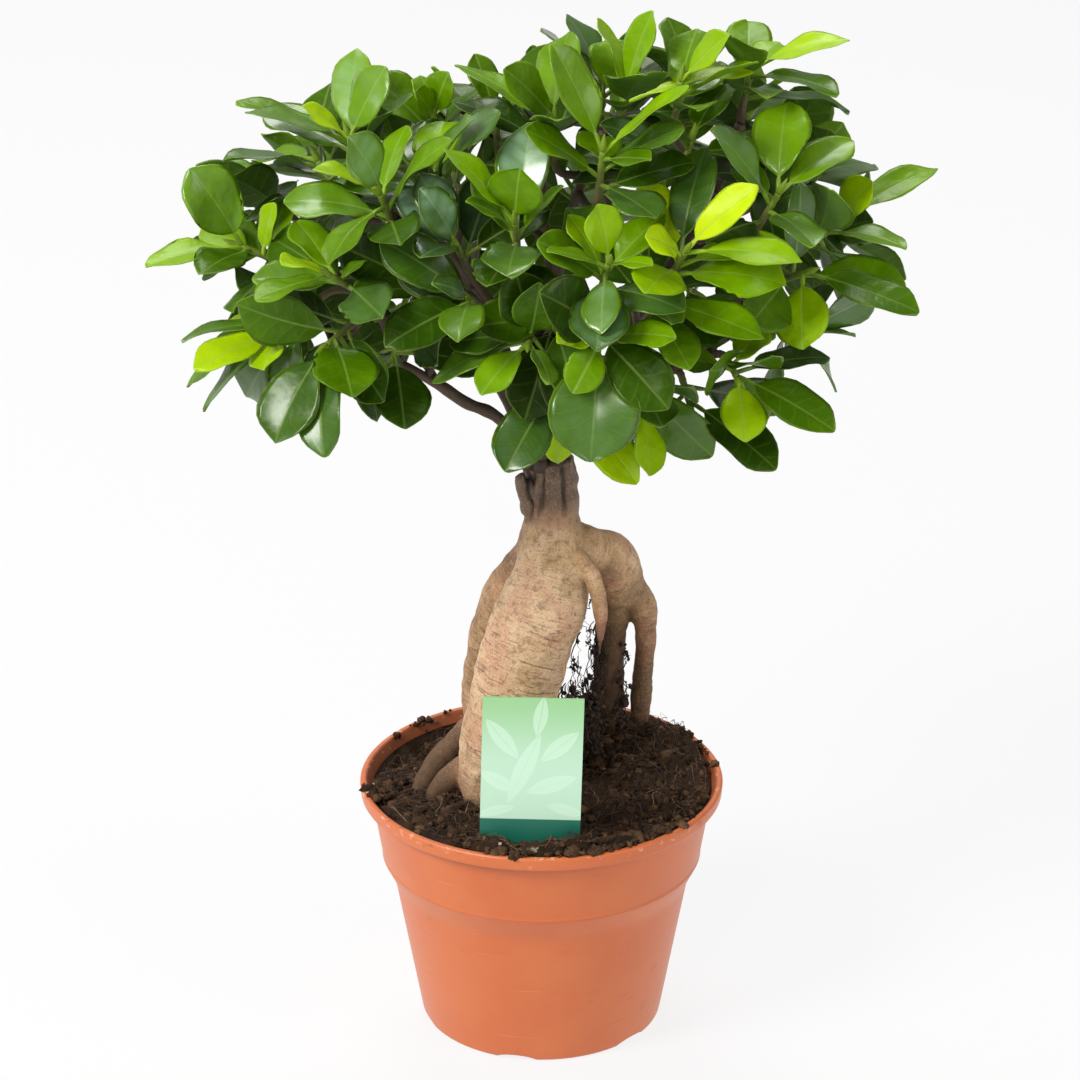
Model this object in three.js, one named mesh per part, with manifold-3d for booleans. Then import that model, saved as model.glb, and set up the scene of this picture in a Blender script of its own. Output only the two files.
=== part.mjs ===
// A ginseng ficus: swollen roots, a cut stub and eight grafted leafy boughs, planted in a
// nursery pot with a plant label. Millimetres, +Z up, the pot's foot centred on the origin.
import * as THREE from 'three';
import { mergeVertices } from 'three/addons/utils/BufferGeometryUtils.js';
import Module from 'manifold-3d';

const wasm = await Module();
wasm.setup();

// Driving dimensions
const FIT_GAP = 0.35;
const POT_HEIGHT = 107;
const RIM_RADIUS = 75;
const RIM_WIDTH = 2.7;
const LIP_DROP = 6;
const COLLAR_BOTTOM = 72;
const BODY_TOP = 62;
const FOOT_RADIUS = 48.4;
const WALL = 1.25;
const POT_SIDES = 30;
const CHANNEL_LIFT = 3;
const DRAIN_HOLES = 6;
const SOIL_LEVEL = 104;
const STUB_TOP = 249;
const CARD_WIDTH = 40;
const CARD_TOP = 171;
const CARD_BOTTOM = 99;
const CARD_THICK = 0.8;
const CARD_PLACE = [-5, -60];
const CARD_LEAN = 1.5;
const CROWN_CENTRE = new THREE.Vector3(2, 0, 345);
const CROWN_REACH = new THREE.Vector3(155, 115, 85);
const VIEW_RISE = 23;
const LEAF_LENGTH = 35;
const LEAF_SPREAD = 11;
const LEAF_RATIO = 0.52;
const LEAF_THICK = 0.65;
const STALK_SHARE = 0.18;
const STALK_HALF = 0.6;
const STALK_THICK = 0.5;
const LEAF_SPACING = 2.9;
const BLADE_WIDEST = 0.58;
const BLADE_SHOULDER = 0.84;
const LEAF_BEND = 26;
const LEAF_CUP = 0.16;
const GOLDEN_TURN = 137.5;
const BOUGH_RADIUS = 2.3;
const TWIG_RADIUS = 2;
const TIP_RADIUS = 1.6;
const TWIG_SIDES = 3;
const BOUGH_STEPS = 8;
const BOUGH_SIDES = 5;
const LOWEST_LEAF = 268;

const radians = THREE.MathUtils.degToRad;
const UP = new THREE.Vector3(0, 0, 1);
const FRONT = new THREE.Vector3(0, -Math.cos(radians(VIEW_RISE)), Math.sin(radians(VIEW_RISE)));
const vector = (place) => new THREE.Vector3(place[0], place[1], place[2]);

// Repeatable draw between 0 and 1 for a numbered thing and a channel
function chance(number, channel) {
  const wave = Math.sin(number * 127.1 + channel * 311.7) * 43758.5453;
  return wave - Math.floor(wave);
}

// Solids from three.js geometry and back
function solid(positions, triangles) {
  return new wasm.Manifold(new wasm.Mesh({
    numProp: 3,
    vertProperties: new Float32Array(positions),
    triVerts: new Uint32Array(triangles),
  }));
}

function solidOf(geometry) {
  geometry.deleteAttribute('normal');
  geometry.deleteAttribute('uv');
  const merged = mergeVertices(geometry, 1e-4);
  const corners = merged.index.array;
  const kept = [];
  for (let i = 0; i < corners.length; i += 3) {
    const [a, b, c] = corners.slice(i, i + 3);
    if (a !== b && b !== c && c !== a) kept.push(a, b, c);
  }
  return solid(merged.attributes.position.array, kept);
}

function part(name, body, colour, roughness) {
  const mesh = body.getMesh();
  const geometry = new THREE.BufferGeometry();
  geometry.setAttribute('position', new THREE.BufferAttribute(new Float32Array(mesh.vertProperties), 3));
  geometry.setIndex(new THREE.BufferAttribute(new Uint32Array(mesh.triVerts), 1));
  geometry.computeVertexNormals();
  const material = new THREE.MeshStandardMaterial({ color: colour, roughness, metalness: 0 });
  const made = new THREE.Mesh(geometry, material);
  made.name = name;
  return made;
}

// Corners and faces of a closed tube through places, each with a direction and a radius; its frame is
// carried along untwisted, and side j between rings i and i + 1 has faces 2 * (i * sides + j) and the next
function tubeMesh(places, ways, radii, sides) {
  const positions = [];
  const triangles = [];
  const last = places.length - 1;
  let side = null;
  for (let i = 0; i <= last; i++) {
    const along = ways[i];
    if (!side) side = Math.abs(along.x) < 0.8 ? new THREE.Vector3(1, 0, 0) : new THREE.Vector3(0, 1, 0);
    side = side.clone().addScaledVector(along, -side.dot(along)).normalize();
    const other = along.clone().cross(side);
    for (let j = 0; j < sides; j++) {
      const turn = (2 * Math.PI * j) / sides;
      const corner = places[i].clone();
      corner.addScaledVector(side, radii[i] * Math.cos(turn));
      corner.addScaledVector(other, radii[i] * Math.sin(turn));
      positions.push(corner.x, corner.y, corner.z);
    }
  }
  for (let i = 0; i < last; i++) {
    for (let j = 0; j < sides; j++) {
      const a = i * sides + j;
      const b = i * sides + ((j + 1) % sides);
      triangles.push(a, b, b + sides, a, b + sides, a + sides);
    }
  }
  for (let j = 2; j < sides; j++) {
    const end = last * sides;
    triangles.push(0, j, j - 1, end, end + j - 1, end + j);
  }
  return { positions, triangles };
}

function tube(places, ways, radii, sides) {
  const { positions, triangles } = tubeMesh(places, ways, radii, sides);
  return solid(positions, triangles);
}

// A root from a list of [x, y, z, radius], widened and lengthened by grow for the hole round it
function limb(list, sides, grow = 0) {
  const places = list.map(vector);
  if (grow) {
    const last = places.length - 1;
    const out = places[last].clone().sub(places[last - 1]).normalize();
    places[last].addScaledVector(out, 2 * grow);
  }
  const end = places.length - 1;
  const ways = places.map((_, i) => {
    const before = places[Math.max(i - 1, 0)];
    return places[Math.min(i + 1, end)].clone().sub(before).normalize();
  });
  return tube(places, ways, list.map((entry) => entry[3] + grow), sides);
}

// Pot: one thin lathed shell with a rolled lip, a collar, a raised drainage channel and a foot
function potProfile() {
  const foot = FOOT_RADIUS;
  const floor = CHANNEL_LIFT + WALL;
  const outer = [
    [0, 0], [28, 0], [29.5, CHANNEL_LIFT], [foot - 2.4, CHANNEL_LIFT], [foot - 2, 0], [foot, 0],
    [foot + 1.4, 1], [foot + 1.9, 3], [61.2, BODY_TOP], [65.7, COLLAR_BOTTOM],
    [70.5, POT_HEIGHT - LIP_DROP], [RIM_RADIUS - 0.4, POT_HEIGHT - LIP_DROP + 0.3],
    [RIM_RADIUS, POT_HEIGHT - 0.8], [RIM_RADIUS - 0.7, POT_HEIGHT],
  ];
  const inner = [
    [RIM_RADIUS - RIM_WIDTH, POT_HEIGHT], [70.5 - WALL, POT_HEIGHT - LIP_DROP - 0.5],
    [65.7 - WALL, COLLAR_BOTTOM + 0.3], [61.2 - WALL, BODY_TOP + 0.4], [foot + 2.1 - WALL, floor],
    [28.8, floor], [27.6, WALL], [0, WALL],
  ];
  return [...outer, ...inner].map(([radius, height]) => new THREE.Vector2(radius, height));
}

function makePot() {
  const shell = new THREE.LatheGeometry(potProfile(), POT_SIDES);
  shell.rotateX(Math.PI / 2);
  const cuts = [];
  for (let i = 0; i < DRAIN_HOLES; i++) {
    const turn = (2 * Math.PI * i) / DRAIN_HOLES;
    const hole = new THREE.CylinderGeometry(4, 4, 12, 8);
    hole.rotateX(Math.PI / 2);
    hole.translate(37.5 * Math.cos(turn), 37.5 * Math.sin(turn), CHANNEL_LIFT);
    cuts.push(solidOf(hole));
    const notch = new THREE.CylinderGeometry(1, 1, 12, 10);
    notch.scale(8.5, 1, 2.6);
    notch.translate(0, FOOT_RADIUS - 2, 0);
    notch.rotateZ(turn + radians(108));
    cuts.push(solidOf(notch));
  }
  return solidOf(shell).subtract(wasm.Manifold.union(cuts));
}

// Soil surface: a plane with a mound round the roots, a rise at the right and a dip at the back left
function soilHeight(x, y) {
  const bump = (cx, cy, spread) => Math.exp(-((x - cx) ** 2 + (y - cy) ** 2) / (2 * spread * spread));
  const broad = 1.2 * Math.sin(0.21 * x + 1.3) * Math.cos(0.19 * y - 0.4);
  const ripple = broad + 0.7 * Math.sin(0.43 * x - 0.31 * y);
  return SOIL_LEVEL + 9 * bump(8, 24, 26) + 6 * bump(46, 30, 15) - 9 * bump(-48, 38, 22) + ripple;
}

// Inner wall of the pot at a height
function wallRadius(height) {
  const low = [61.2 - WALL, BODY_TOP + 0.4];
  const mid = [65.7 - WALL, COLLAR_BOTTOM + 0.3];
  const high = [70.5 - WALL, POT_HEIGHT - LIP_DROP - 0.5];
  const top = [RIM_RADIUS - RIM_WIDTH, POT_HEIGHT];
  const foot = [FOOT_RADIUS + 2.1 - WALL, CHANNEL_LIFT + WALL];
  const steps = [foot, low, mid, high, top];
  for (let i = 1; i < steps.length; i++) {
    const [r0, z0] = steps[i - 1];
    const [r1, z1] = steps[i];
    if (height <= z1) return r0 + ((r1 - r0) * (height - z0)) / (z1 - z0);
  }
  return top[0];
}

function makeSoil(hollows) {
  const positions = [0, 0, CHANNEL_LIFT + WALL + FIT_GAP];
  const triangles = [];
  const lipStart = POT_HEIGHT - LIP_DROP - 0.5;
  const sideHeights = [CHANNEL_LIFT + WALL + FIT_GAP, BODY_TOP + 0.6, COLLAR_BOTTOM + 0.5, lipStart];
  const shares = [1, 0.8, 0.56, 0.3];
  const rows = sideHeights.length + shares.length;
  for (let row = 0; row < rows; row++) {
    for (let j = 0; j < POT_SIDES; j++) {
      const turn = (2 * Math.PI * j) / POT_SIDES;
      const cos = Math.sin(turn);
      const sin = -Math.cos(turn);
      const edge = Math.min(soilHeight(70 * cos, 70 * sin), POT_HEIGHT - 1);
      if (row < sideHeights.length) {
        const height = Math.min(sideHeights[row], edge - 1.5);
        const radius = wallRadius(height) - FIT_GAP;
        positions.push(radius * cos, radius * sin, height);
        continue;
      }
      const share = shares[row - sideHeights.length];
      const radius = (wallRadius(edge) - FIT_GAP) * share;
      const level = share === 1 ? edge : soilHeight(radius * cos, radius * sin);
      positions.push(radius * cos, radius * sin, level);
    }
  }
  const centre = positions.length / 3;
  positions.push(0, 0, soilHeight(0, 0));
  for (let j = 0; j < POT_SIDES; j++) {
    const next = (j + 1) % POT_SIDES;
    triangles.push(0, 1 + next, 1 + j);
    for (let row = 0; row < rows - 1; row++) {
      const a = 1 + row * POT_SIDES + j;
      const b = 1 + row * POT_SIDES + next;
      triangles.push(a, b, b + POT_SIDES, a, b + POT_SIDES, a + POT_SIDES);
    }
    const top = 1 + (rows - 1) * POT_SIDES;
    triangles.push(top + j, top + next, centre);
  }
  return solid(positions, triangles).subtract(hollows);
}

// Swollen roots, each a list of [x, y, z, radius] from the crown of the root down into the soil
const ROOTS = {
  front_leg: [[3, -1, 222, 10.5], [2, -4, 210, 14], [1, -9, 198, 16.8], [-3.4, -14, 184, 18.3],
    [-8.4, -17, 168, 18.2], [-13, -19, 151, 17.4], [-16.8, -19, 131, 16.2], [-19, -16, 112, 14.6],
    [-20, -13, 97, 11.5], [-20, -11, 84, 8], [-19, -10, 74, 5]],
  left_leg: [[-1, 3, 214, 8], [-4, 6, 205, 9], [-9, 9, 195, 10.3], [-14.5, 13, 180, 11],
    [-18.7, 17, 163, 10.6], [-20.8, 21, 140, 9.8], [-21, 26, 118, 9], [-21, 30, 100, 7.6], [-20, 33, 82, 4.5]],
  right_lobe: [[4, -2, 213, 9], [12, 1, 209.5, 10.4], [20, 5, 205, 10.8], [26.5, 10, 198, 10.6],
    [30, 14, 188.5, 10], [31.5, 16, 180, 7]],
  right_leg: [[29, 14, 196, 8], [30, 18, 180, 7.2], [29.5, 23, 160, 6], [28, 29, 140, 6.2],
    [27, 34, 122, 7], [26.5, 38, 104, 6.8], [26, 40, 84, 4]],
  outer_leg: [[32.5, 14, 188, 7], [39.2, 17, 177, 5.6], [42, 20, 163, 4.4], [41.8, 25, 148, 4],
    [40.4, 31, 132, 3.7], [39.2, 37, 116, 3.6], [39, 39, 102, 3.2], [39, 40, 88, 2.2]],
  back_leg: [[4, 2, 214, 9], [4, 10, 205, 10], [2, 22, 185, 9.6], [0, 31, 163, 8.8],
    [-2, 38, 140, 8.2], [-3, 43, 118, 7.6], [-3, 46, 100, 7], [-3, 47, 82, 4]],
  hanging_root: [[8, -7, 213, 4.4], [12, -11, 211.5, 4.2], [17.5, -15.5, 208.5, 3.9],
    [21.8, -18.5, 200.5, 3.1], [23.6, -19.5, 189, 2.4], [23.3, -19, 180, 1.8], [22.8, -18, 173, 1.1]],
  left_surface_root: [[-17, 22, 128, 6], [-24, 20, 122, 6.2], [-33, 16, 116, 5.6], [-41, 9, 111, 5],
    [-47, 1, 107, 4.2], [-52, -6, 101, 2.8]],
  front_surface_root: [[-15, 2, 120, 6], [-22, -4, 116, 6.2], [-32, -6, 112, 5.6],
    [-41, -12, 108, 4.6], [-47, -17, 101, 3]],
  neck: [[1.5, 0, 206, 13], [2.5, -1, 216, 12], [3, -1, 224, 10.4], [1.6, -0.5, 235, 10.8],
    [1.4, 0, 243, 10.8], [1.4, 0, STUB_TOP, 10.4]],
  bark_flap: [[-5.5, -4, 226, 3], [-8.2, -5, 235, 2.6], [-9.8, -5.5, 243.5, 1.3]],
};
const ROOT_SIDES = { front_leg: 13, left_leg: 9, right_lobe: 10, right_leg: 8, outer_leg: 6,
  back_leg: 7, hanging_root: 5, left_surface_root: 6, front_surface_root: 6, neck: 12, bark_flap: 4 };
const ROOTS_IN_SOIL = ['front_leg', 'left_leg', 'right_leg', 'outer_leg', 'back_leg',
  'left_surface_root', 'front_surface_root'];

function makeTrunk() {
  return wasm.Manifold.union(Object.keys(ROOTS).map((name) => limb(ROOTS[name], ROOT_SIDES[name])));
}

// Label: a flat card on a pointed stake, upright and turned slightly clockwise
function makeCard(grow = 0) {
  const half = CARD_WIDTH / 2 + grow;
  const stake = 6 + grow;
  const point = 79 - 2 * grow;
  const shape = new THREE.Shape();
  shape.moveTo(-half, CARD_TOP);
  shape.lineTo(-half, CARD_BOTTOM + 4 - grow);
  shape.lineTo(-stake - 4, CARD_BOTTOM - grow);
  shape.lineTo(-stake, CARD_BOTTOM - 3 - grow);
  shape.lineTo(0, point);
  shape.lineTo(stake, CARD_BOTTOM - 3 - grow);
  shape.lineTo(stake + 4, CARD_BOTTOM - grow);
  shape.lineTo(half, CARD_BOTTOM + 4 - grow);
  shape.lineTo(half, CARD_TOP);
  const card = new THREE.ExtrudeGeometry(shape, { depth: CARD_THICK + 2 * grow, bevelEnabled: false });
  card.translate(0, -CARD_BOTTOM, -CARD_THICK / 2 - grow);
  card.rotateX(Math.PI / 2);
  card.rotateY(radians(CARD_LEAN));
  card.translate(CARD_PLACE[0], CARD_PLACE[1], CARD_BOTTOM);
  return solidOf(card);
}

// Boughs: a route from the stub and the shoots it carries. A shoot is [place, leaves by rule, set
// leaves]; a set leaf is [clock angle seen from the front, lean towards the front, length, width,
// roll away from the front]
const BOUGHS = {
  bough_left_low: {
    foot: [-5.2, -4.6],
    route: [[-18, -8, 270], [-30, -12, 277.5], [-42, -17, 288], [-60, -26, 301], [-80, -34, 308]],
    shoots: [
      [[-101, -40, 315], 3, [[-159, 25, 38, 17, 40], [168, -45, 34, 16, 50],
        [-111, 55, 24, 16, 50], [-180, -25, 44, 14, 65], [-147, -25, 46, 14, 65],
        [-138, -25, 46, 15, 65]]],
      [[-82, -60, 320], 3, [[-117, 10, 43, 25, 30], [-90, 20, 46, 20, 30],
        [-63, 40, 30, 25, 20], [-57, -25, 38, 18, 50]]],
      [[-57, -45, 310], 3, [[-81, 25, 32, 22, 15], [-5, -30, 40, 18, 30]]],
      [[-80, -62, 349], 3, [[123, -40, 34, 17, 35], [168, 50, 28, 14, 70],
        [27, -45, 20, 12, 65], [-159, 45, 34, 18, 60]]],
      [[-45, -35, 333], 4, [[-168, 20, 40, 18, 50]]],
      [[-98, 8, 302], 6, []],
    ],
  },
  bough_left_high: {
    foot: [-7.2, 1.2],
    route: [[-13, 1, 272], [-26, -4, 300], [-44, -8, 330], [-60, -12, 358], [-69, -14, 374]],
    shoots: [
      [[-74, -15, 388], 3, [[87, -25, 40, 18, 30], [60, 35, 36, 18, 30],
        [162, 0, 46, 17, 65], [168, 25, 44, 16, 70], [147, 30, 24, 10, 50]]],
      [[-61, -55, 379], 4, [[69, -25, 32, 15, 45], [120, 40, 30, 20, 40],
        [162, 30, 30, 14, 70], [-123, 30, 38, 17, 55]]],
      [[-87, 0, 374], 5, [[177, -45, 36, 18, 65]]],
      [[-117, -15, 344], 2, [[123, 25, 38, 25, 25], [-165, 30, 42, 17, 55],
        [156, -40, 24, 14, 30], [48, 35, 26, 11, 45], [51, -35, 34, 18, 40],
        [-138, 55, 32, 18, 40]]],
      [[-42, 0, 392], 4, [[69, 30, 20, 15, 35], [108, -35, 22, 15, 40],
        [33, -25, 26, 13, 65], [129, 40, 18, 14, 45]]],
      [[-41, -40, 379], 5, [[81, -35, 30, 21, 25]]],
      [[-108, 24, 352], 6, []],
    ],
  },
  bough_front: {
    foot: [-0.4, -7.4],
    route: [[0, -14, 268], [1, -28, 288], [0, -44, 306], [-4, -58, 318]],
    shoots: [
      [[-5, -78, 327], 3, [[-174, -20, 32, 17, 40], [-132, 20, 28, 16, 35],
        [-63, 30, 20, 13, 55], [-159, -20, 42, 15, 50]]],
      [[-27, -72, 343], 6, []],
      [[5, -62, 329], 3, [[-177, 25, 34, 19, 30]]],
      [[4, -58, 300], 4, [[-120, 20, 38, 22, 15], [-84, -25, 30, 16, 35],
        [-40, -10, 49, 20, 25]]],
      [[23, -84, 331], 2, [[-96, 0, 46, 34, 0], [171, 30, 20, 14, 45],
        [0, 25, 30, 15, 45], [-120, 15, 24, 15, 0]]],
      [[25, -82, 361], 3, [[102, 25, 24, 17, 30], [129, -30, 28, 15, 50],
        [42, -25, 32, 16, 35], [171, 25, 26, 11, 65], [-6, 35, 20, 10, 60],
        [-96, 25, 30, 15, 20]]],
      [[-10, -68, 372], 3, [[84, 35, 24, 22, 20], [81, -20, 42, 21, 15],
        [135, 20, 40, 16, 60], [39, -25, 26, 12, 65], [159, 35, 24, 10, 65]]],
      [[-32, -60, 360], 6, []],
    ],
  },
  bough_right_low: {
    foot: [6.6, -5],
    route: [[17, -14, 269], [34, -27, 286], [50, -40, 302], [64, -50, 312]],
    shoots: [
      [[75, -55, 305], 3, [[-84, 25, 28, 18, 15], [-30, 15, 44, 19, 30],
        [60, -20, 24, 15, 35], [12, -20, 40, 17, 55], [165, 15, 29, 16, 50]]],
      [[38, -55, 296], 3, [[-84, 20, 32, 17, 45], [-81, -30, 30, 15, 50],
        [-54, 55, 24, 20, 30]]],
      [[57, -48, 292], 4, [[-39, 20, 45, 21, 35]]],
      [[42, -70, 343], 4, [[-21, 15, 46, 18, 40], [-66, 40, 22, 15, 45],
        [15, -25, 40, 15, 60]]],
      [[54, -72, 362], 2, [[42, 20, 38, 14, 25], [120, -15, 36, 18, 25],
        [6, -25, 44, 15, 45], [-6, 15, 45, 15, 45], [162, 35, 20, 15, 45],
        [78, -25, 46, 18, 25]]],
      [[101, -45, 344], 4, [[-21, 20, 48, 18, 40], [-93, 20, 32, 22, 20]]],
      [[114, -15, 352], 3, [[30, -15, 49, 15, 45], [51, 35, 26, 17, 40],
        [129, -35, 24, 16, 40], [-21, 35, 34, 15, 60]]],
      [[101, -20, 308], 4, [[-54, -30, 30, 14, 75], [3, -35, 28, 12, 75]]],
    ],
  },
  bough_right_high: {
    foot: [9, 1.2],
    route: [[20, 2, 276], [38, 2, 308], [57, 0, 340], [70, -4, 368], [77, -4, 390]],
    shoots: [
      [[81, 0, 411], 4, [[15, 15, 40, 14, 55], [45, -35, 20, 15, 45],
        [-21, 35, 42, 16, 60]]],
      [[57, -30, 392], 6, [[57, -35, 34, 17, 40]]],
      [[90, -45, 376], 4, [[84, -20, 38, 23, 20], [36, -25, 40, 18, 40],
        [147, -35, 24, 14, 45]]],
      [[53, -25, 414], 4, [[42, 30, 28, 15, 50], [72, -30, 26, 20, 40],
        [84, -40, 34, 14, 65]]],
      [[104, 16, 362], 6, []],
      [[58, 24, 394], 6, []],
    ],
  },
  bough_top: {
    foot: [1.4, 0],
    route: [[2, -2, 275], [4, -6, 308], [8, -12, 342], [16, -18, 372], [24, -20, 392]],
    shoots: [
      [[32, -15, 404], 4, [[72, 20, 36, 14, 40], [108, -20, 36, 14, 65],
        [18, 5, 50, 14, 65]]],
      [[5, -30, 400], 4, [[138, 35, 32, 19, 40], [150, -15, 46, 15, 60],
        [81, -20, 38, 20, 40]]],
      [[23, -55, 396], 4, [[117, 20, 46, 20, 40], [36, 20, 42, 12, 65],
        [108, -60, 18, 18, 25], [-15, 40, 24, 13, 55]]],
      [[-18, 4, 390], 6, []],
      [[24, 20, 400], 6, []],
      [[0, 46, 380], 6, []],
    ],
  },
  bough_back_left: {
    foot: [-3.6, 6.6],
    route: [[-9, 15, 272], [-20, 30, 296], [-36, 44, 318], [-56, 56, 334]],
    shoots: [
      [[-80, 66, 346], 6, []],
      [[-112, 40, 322], 6, []],
      [[-84, 62, 312], 6, []],
      [[-88, 46, 352], 6, []],
      [[-56, 50, 296], 6, []],
      [[-46, 82, 326], 6, []],
      [[-58, 60, 360], 6, []],
      [[-36, 76, 344], 6, []],
      [[-32, 38, 374], 6, []],
      [[-8, 66, 302], 6, []],
    ],
  },
  bough_back_right: {
    foot: [5.6, 6.6],
    route: [[13, 15, 272], [26, 30, 296], [44, 44, 318], [62, 54, 334]],
    shoots: [
      [[86, 64, 350], 6, []],
      [[116, 38, 332], 6, []],
      [[92, 58, 314], 6, []],
      [[98, 42, 360], 6, []],
      [[62, 56, 298], 6, []],
      [[50, 80, 330], 6, []],
      [[60, 66, 356], 6, []],
      [[82, 36, 382], 6, []],
      [[14, 82, 338], 6, []],
      [[28, 62, 370], 6, []],
    ],
  },
};

// Direction a shoot points: out from the crown, lifted towards the light except under the crown
function headingOf(place) {
  const out = place.clone().sub(CROWN_CENTRE).divide(CROWN_REACH).divide(CROWN_REACH).normalize();
  const lift = 0.6 * THREE.MathUtils.clamp((place.z - 290) / 60, 0, 1);
  return out.addScaledVector(UP, lift).normalize();
}

function boughCurve(bough) {
  const [x, y] = bough.foot;
  const places = [[x, y, STUB_TOP + FIT_GAP], [x, y, STUB_TOP + 5], ...bough.route].map(vector);
  return new THREE.CatmullRomCurve3(places, false, 'catmullrom', 0.5);
}

// A twig leaves its bough where the way to the shoot is short and bends little, and ends in a
// straight stem with a ring for each leaf; the first shoot's twig carries the bough on
function twigOf(curve, place, heading, first, leaves) {
  let start = curve.getPoint(1);
  let least = Infinity;
  for (let step = first ? 20 : 6; step <= 20; step++) {
    const from = curve.getPoint(step / 20);
    const way = place.clone().sub(from);
    const cost = way.length() * (1.7 - way.clone().normalize().dot(curve.getTangent(step / 20)));
    if (cost < least) {
      least = cost;
      start = from;
    }
  }
  const slots = leaves - 1;
  const spacing = Math.min(LEAF_SPACING, (0.62 * start.distanceTo(place)) / slots);
  const joint = place.clone().addScaledVector(heading, -spacing * slots);
  const bend = joint.clone().addScaledVector(heading, -0.45 * start.distanceTo(joint));
  const line = new THREE.QuadraticBezierCurve3(start, bend, joint);
  const places = [0, 1 / 3, 2 / 3].map((t) => line.getPoint(t));
  const ways = [0, 1 / 3, 2 / 3].map((t) => line.getTangent(t));
  const radii = [0, 1 / 3, 2 / 3].map((t) => TWIG_RADIUS + (TIP_RADIUS - TWIG_RADIUS) * t);
  for (let slot = slots; slot >= 0; slot--) {
    places.push(place.clone().addScaledVector(heading, -spacing * slot));
    ways.push(heading);
    radii.push(TIP_RADIUS);
  }
  const mesh = tubeMesh(places, ways, radii, TWIG_SIDES);
  return { ...mesh, rings: places.length, spacing, body: solid(mesh.positions, mesh.triangles) };
}

// Half width of a blade as a share of its greatest half width, from stalk (0) to tip (1)
function bladeShare(along) {
  const x = Math.max(0, (along - STALK_SHARE) / (1 - STALK_SHARE));
  return (x ** 0.95 * (1 - x) ** 0.62) / 0.3487;
}

// A leaf's frame from the chord between its root and tip: the midrib is an arc that bends down
function leafFrame(base, chord, facing, width, bend) {
  const reach = chord.length();
  const ahead = chord.clone().normalize();
  const face = facing.clone().addScaledVector(ahead, -facing.dot(ahead)).normalize();
  const half = bend / 2;
  return {
    base,
    width,
    bend,
    length: (reach * half) / Math.sin(half),
    along: ahead.clone().multiplyScalar(Math.cos(half)).addScaledVector(face, Math.sin(half)),
    face: face.clone().multiplyScalar(Math.cos(half)).addScaledVector(ahead, -Math.sin(half)),
    across: ahead.clone().cross(face),
  };
}

function leafPoint(leaf, t, halfWidth, lift) {
  const turn = leaf.bend * t;
  const radius = leaf.length / leaf.bend;
  const place = leaf.base.clone();
  place.addScaledVector(leaf.along, radius * Math.sin(turn) + lift * Math.sin(turn));
  place.addScaledVector(leaf.face, -radius * (1 - Math.cos(turn)) + lift * Math.cos(turn));
  return place.addScaledVector(leaf.across, halfWidth);
}

// Corners of a leaf: the end of its three-sided stalk, the keeled blade where it is widest, its
// shoulders and its tip, and the faces between them, split alike above and below
function leafCorners(leaf, grow = 0) {
  const widest = (leaf.width / 2) * bladeShare(BLADE_WIDEST);
  const shoulder = (leaf.width / 2) * bladeShare(BLADE_SHOULDER) + grow;
  return [
    leafPoint(leaf, STALK_SHARE, -STALK_HALF - grow, STALK_THICK / 2 + grow),
    leafPoint(leaf, STALK_SHARE, STALK_HALF + grow, STALK_THICK / 2 + grow),
    leafPoint(leaf, STALK_SHARE, 0, -STALK_THICK - grow),
    leafPoint(leaf, BLADE_WIDEST, -widest - grow, LEAF_CUP * widest),
    leafPoint(leaf, BLADE_WIDEST, 0, LEAF_THICK + grow),
    leafPoint(leaf, BLADE_WIDEST, widest + grow, LEAF_CUP * widest),
    leafPoint(leaf, BLADE_WIDEST, 0, -LEAF_THICK - grow),
    leafPoint(leaf, BLADE_SHOULDER, -shoulder, LEAF_CUP * shoulder),
    leafPoint(leaf, BLADE_SHOULDER, shoulder, LEAF_CUP * shoulder),
    leafPoint(leaf, 1 + grow / leaf.length, 0, 0),
  ];
}
const LEAF_FACES = [0, 1, 4, 0, 4, 3, 1, 5, 4, 1, 2, 6, 1, 6, 5, 2, 0, 3, 2, 3, 6, 3, 4, 7, 7, 4, 9,
  4, 5, 8, 4, 8, 9, 3, 7, 6, 7, 9, 6, 6, 8, 5, 6, 9, 8];
const flatten = (places) => places.flatMap(({ x, y, z }) => [x, y, z]);

// Faces of a stalk from a triangular face of the twig to the end of the stalk, turned to twist least
function stalkFaces(host, corners, first) {
  const reach = (i, shift) => host[i].distanceToSquared(corners[(i + shift) % 3]);
  const cost = (shift) => reach(0, shift) + reach(1, shift) + reach(2, shift);
  const shift = [0, 1, 2].sort((a, b) => cost(a) - cost(b))[0];
  return [0, 1, 2].flatMap((i) => {
    const next = (i + 1) % 3;
    const [near, far] = [first + ((i + shift) % 3), first + ((next + shift) % 3)];
    return [['host', i], ['host', next], far, ['host', i], far, near];
  });
}

// A closed leaf, with its stalk down to the host face or cut where the stalk ends
function leafSolid(leaf, host, grow = 0) {
  const corners = leafCorners(leaf, grow);
  if (!host) return solid(flatten(corners), [0, 2, 1, ...LEAF_FACES]);
  const stalk = stalkFaces(host, corners, 3).map((corner) => (Array.isArray(corner) ? corner[1] : corner));
  return solid(flatten([...host, ...corners]), [0, 2, 1, ...stalk, ...LEAF_FACES.map((i) => i + 3)]);
}

// Direction of a set leaf from its clock angle and its lean towards the front
function clockWay(clock, lean) {
  const rise = radians(VIEW_RISE);
  const [angle, tilt] = [radians(clock), radians(lean)];
  const top = new THREE.Vector3(0, Math.sin(rise), Math.cos(rise));
  const way = new THREE.Vector3(1, 0, 0).multiplyScalar(Math.cos(tilt) * Math.cos(angle));
  way.addScaledVector(top, Math.cos(tilt) * Math.sin(angle));
  return way.addScaledVector(FRONT, Math.sin(tilt));
}

// How far a set leaf opens from the way its shoot points: the least open sits highest
function openness([clock, lean], heading) {
  return clockWay(clock, lean).angleTo(heading);
}

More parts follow.
